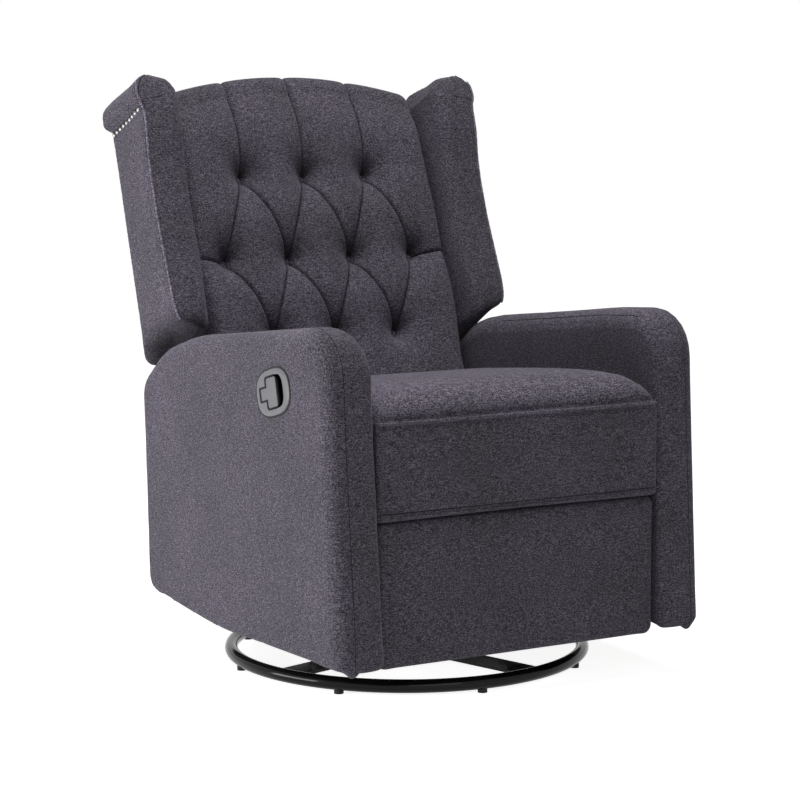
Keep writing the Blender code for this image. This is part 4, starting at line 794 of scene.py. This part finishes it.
# Painted shade: nearly black along each pleat's crease and in a V above each button.
painted_dark = 0.92 * full * np.exp(-near / 0.0011)
for bx, bs in buttons:
    above = np.maximum(0.0, heights - bs)
    over = 0.94 * ramp(heights - bs, 0.006) * hump(above, 0.036)
    painted_dark = np.maximum(painted_dark, over * hump(x - bx, 0.009 + 0.48 * np.abs(heights - bs)))
brow, rear = face_n[:, -1:], rear_line(floor_n, shoulder)
angle = (math.pi * np.arange(1, 26) / 26)[None, :]
pinch = np.exp(-near[:, -1:] / 0.0028) * full
roll_n = (brow + rear) / 2 + (brow - rear) / 2 * np.cos(angle)
roll_s = shoulder + (brow_r - 0.0045 * pinch * np.sin(angle)) * np.sin(angle) ** 0.8
down = shoulder + (ledge_s - shoulder) * np.linspace(0, 1, 9)[None, :]
inside = np.repeat(np.linspace(ledge_s, foot, 26)[None, :], len(columns), axis=0)
n = np.hstack([face_n, roll_n, rear_line(floor_n, down), rear_line(rear_n, inside)])
s = np.hstack([heights, roll_s, down, inside])
x = np.hstack([x, np.repeat(columns[:, None], n.shape[1] - x.shape[1], axis=1)])
x = x * (1.0 - 0.05 * ramp(0.255 - s, 0.135) ** 1.5)
y = hinge.y + sin_lean * s - cos_lean * n
z = hinge.z + cos_lean * s + sin_lean * n
wide, deep = n.shape
faces = []
for i in range(wide - 1):
    for k in range(deep):
        j = (k + 1) % deep
        faces.append((i * deep + k, i * deep + j, (i + 1) * deep + j, (i + 1) * deep + k))
faces += [tuple(range(deep)), tuple(range((wide - 1) * deep, wide * deep))]
mesh = bpy.data.meshes.new("back")
mesh.from_pydata(np.stack([x, y, z], axis=-1).reshape(-1, 3).tolist(), [], faces)
bm = bmesh.new()
bm.from_mesh(mesh)
bmesh.ops.recalc_face_normals(bm, faces=bm.faces)
bm.to_mesh(mesh)
bm.free()
back = bpy.data.objects.new("back", mesh)
scene.collection.objects.link(back)
upholstered(back, "back", 0.8, "back_cushion")
# The painted shade is kept as an attribute, with the creases over the crown roll painted dark too.
dark, brow_k = np.zeros(n.shape), painted_dark.shape[1]
dark[:, :brow_k] = painted_dark
dark[:, brow_k : brow_k + roll_n.shape[1]] = 0.9 * np.exp(-near[:, -1:] / 0.0011) * full
mark(mesh, "painted_shade", dark)
mesh.materials.clear()
shade_painted_cloth = weave("cloth_with_painted_shade", 1.0, "painted_shade")
mesh.materials.append(shade_painted_cloth)

# Buttons: tin shells covered with the same cloth, each on a twine that is pulled through the cushion and
# tied to the back frame, so that it sits deep in the back.
button_r, button_flat, button_out = 0.0105, 0.5, 0.002
for number, (x, s) in enumerate(buttons, 1):
    bm = bmesh.new()
    spot = Matrix.Translation(back_space(x, tuft_n + button_out, s))
    turn = spot @ Matrix.Rotation(math.pi / 2 - lean, 4, "X")
    bmesh.ops.create_uvsphere(bm, u_segments=28, v_segments=16, radius=button_r)
    bmesh.ops.scale(bm, vec=(1.0, 1.0, button_flat), verts=bm.verts)
    bmesh.ops.transform(bm, matrix=turn, verts=bm.verts)
    shell(f"button_{number}", bm, cloth, "back")

# Wings: padded side panels on the back frame, whose tops roll outward into ears. A welt is sewn down the
# outer front edge, and a row of nickel nails holds the cloth under each ear.
wing = cover("wing_pad_left", "wing_left", 0.0, 0.0055, 2)


def wing_held(p):
    """The inner side, which is fixed to the back."""
    return ramp(0.276 - p[:, 0], 0.006)


wing = stuffed(wing, wing_held, 0.006, 2.0)
settled(finer(wing), "wing_left", lambda p: np.where(p[:, 0] < 0.272, 0.0, 0.0012), 0.8)


def wing_bow(s):
    """How far the front edge swings forward of the solid's at a height."""
    return 0.011 * hump(s - 0.575, 0.06) - 0.009 * ramp(0.52 - s, 0.14)


def wing_front(s):
    """Where the front edge lies at a height."""
    return 0.134 + 0.30 * max(0.0, s - 0.40) ** 2 + wing_bow(s)


spots = places(wing.data)
x, out, up = spots[:, 0], hinge.y - spots[:, 1], spots[:, 2] - hinge.z
n, s = cos_lean * out + sin_lean * up, cos_lean * up - sin_lean * out
outer, inner = ramp(x - 0.300, 0.03), ramp(0.322 - x, 0.025)
fore, aft = ramp(n - 0.02, 0.10), ramp(0.09 - n, 0.11)
ear, low = ramp(s - 0.55, 0.06), ramp(0.26 - s, 0.08)
flare = 0.009 * aft * outer * ramp(s - 0.20, 0.35) * (1 - ramp(s - 0.575, 0.03))
tuck = 0.010 * ramp(0.30 - x, 0.03) * ramp(n - 0.06, 0.05) * ramp(0.32 - s, 0.14)
lift = 0.016 * outer * hump(s - 0.580, 0.022) + (0.006 + 0.010 * aft) * inner * ear
lift -= 0.006 * ramp(x - 0.325, 0.02) * ramp(n - 0.06, 0.06) * ramp(s - 0.60, 0.05)
lift -= 0.007 * hump(x - 0.309, 0.014) * ramp(s - 0.60, 0.04)
lift += 0.004 * hump(x - 0.284, 0.009) * ear * fore
lift += outer * low * (0.020 * hump(n - 0.060, 0.050) + 0.007 * ramp(n - 0.08, 0.04))
flare += 0.004 * fore * outer * hump(s - 0.560, 0.060)
flare -= 0.014 * outer * low**2 * ramp(n + 0.02, 0.05)
n, s = n + fore * wing_bow(s), s + lift
y = hinge.y + sin_lean * s - cos_lean * n
z = hinge.z + cos_lean * s + sin_lean * n
put(wing.data, np.stack([x + flare + tuck, y, z], axis=-1))
# Painted shade: a dark band painted on the outer foot of each wing, above the arm.
dark = 0.78 * ramp(0.234 - s, 0.042) ** 1.2 * ramp(x - 0.275, 0.02) * ramp(n + 0.06, 0.06)
mark(wing.data, "painted_shade", dark)
twin = mirrored(wing, "wing_pad_right")

nickel, tree, core, place = finish_of("nickel_nails", 0.2, 0.5, 1.0)
tone = grain(tree, place, 300.0, 3.0)
tinted(tree, core, tone, (0.3, (0.26, 0.26, 0.25)), (0.7, (0.40, 0.40, 0.39)))
roughened(tree, core, tone, 0.14, 0.30)
nail_s, nail_r, nail_flat, ear_s = 0.591, 0.0044, 0.65, 0.606
welt_r, shadow_line_r, forward = 0.0020, 0.0018, back_space(0, -1, 0) - hinge
for obj, label, side in ((wing, "left", 1), (twin, "right", -1)):
    upholstered(obj, "back", 0.8, f"wing_{label}")
    # The wings take the cloth with painted shade.
    obj.data.materials[0] = shade_painted_cloth
    tree = skin(obj)
    path = []
    for s in np.linspace(0.196, 0.645, 120):
        out = 0.3448 + 0.007 * max(0.0, math.cos((s - 0.623) / 0.038 * math.pi / 2)) * (s > 0.585)
        near = tree.find_nearest(back_space(side * (out - 0.002), wing_front(s) - 0.002, s))
        path.append(near[0] + near[1] * 0.0010)
    tube(f"wing_welt_{label}", path, welt_r, welt, "back")
    path = []
    for t in np.linspace(0, 1, 30):
        spot = back_space(side * (0.350 - 0.024 * t**2), wing_front(0.61) + 0.002, ear_s + 0.062 * t)
        near = tree.find_nearest(spot)
        path.append(near[0] - near[1] * 0.0002)
    tube(f"ear_edge_{label}", path, 0.0010, thread, "back")
    path = []
    for x in np.linspace(0.342, 0.304, 24):
        hit = tree.ray_cast(back_space(side * x, 0.30, ear_s + 0.18 * (0.342 - x)), forward)
        if hit[0] is not None:
            path.append(hit[0] - hit[1] * 0.0002)
    tube(f"ear_seam_{label}", path, 0.0007, thread, "back")
    nails, path = bmesh.new(), []
    front, rear = wing_front(nail_s) - 0.012, rear_line(0.0614, nail_s) + 0.010
    for k in range(33):
        spot = back_space(side * 0.42, front + (rear - front) * k / 32, nail_s)
        path.append(tree.ray_cast(spot, Vector((-side, 0, 0)))[0])
    # Painted shade: a dark cord along the nail row, below the ear's roll, stands for its shadow.
    shadow_line = [spot + Vector((0, 0.0012, 0.0028)) for spot in path]
    tube(f"ear_shadow_line_{label}", shadow_line, shadow_line_r, thread, "back")
    for spot in path[::4]:
        turn = Matrix.Translation(spot) @ Matrix.Rotation(side * math.pi / 2, 4, "Y")
        made = bmesh.ops.create_uvsphere(nails, u_segments=24, v_segments=16, radius=nail_r)
        bmesh.ops.scale(nails, vec=(1.0, 1.0, nail_flat), verts=made["verts"])
        bmesh.ops.transform(nails, matrix=turn, verts=made["verts"])
    row = shell(f"nails_{label}", nails, nickel, "back")
    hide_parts(f"nail_strip_{label}")

# Outside back: a panel of the same cloth pulled over card and stapled to the back frame, and below it a
# covered rail that joins the two arms.
panel = cover("outside_back", "back_panel", 0.001, 0.0060, 4)
settled(panel, "back_panel", 0.0, 0.8)
upholstered(panel, "back", 0.6, "back_panel")
rail = cover("rear_panel", "rear_rail", 0.001, 0.0060, 4)
settled(rail, "rear_rail", 0.0, 0.8)
upholstered(rail, "chassis", 0.6, "rear_rail")
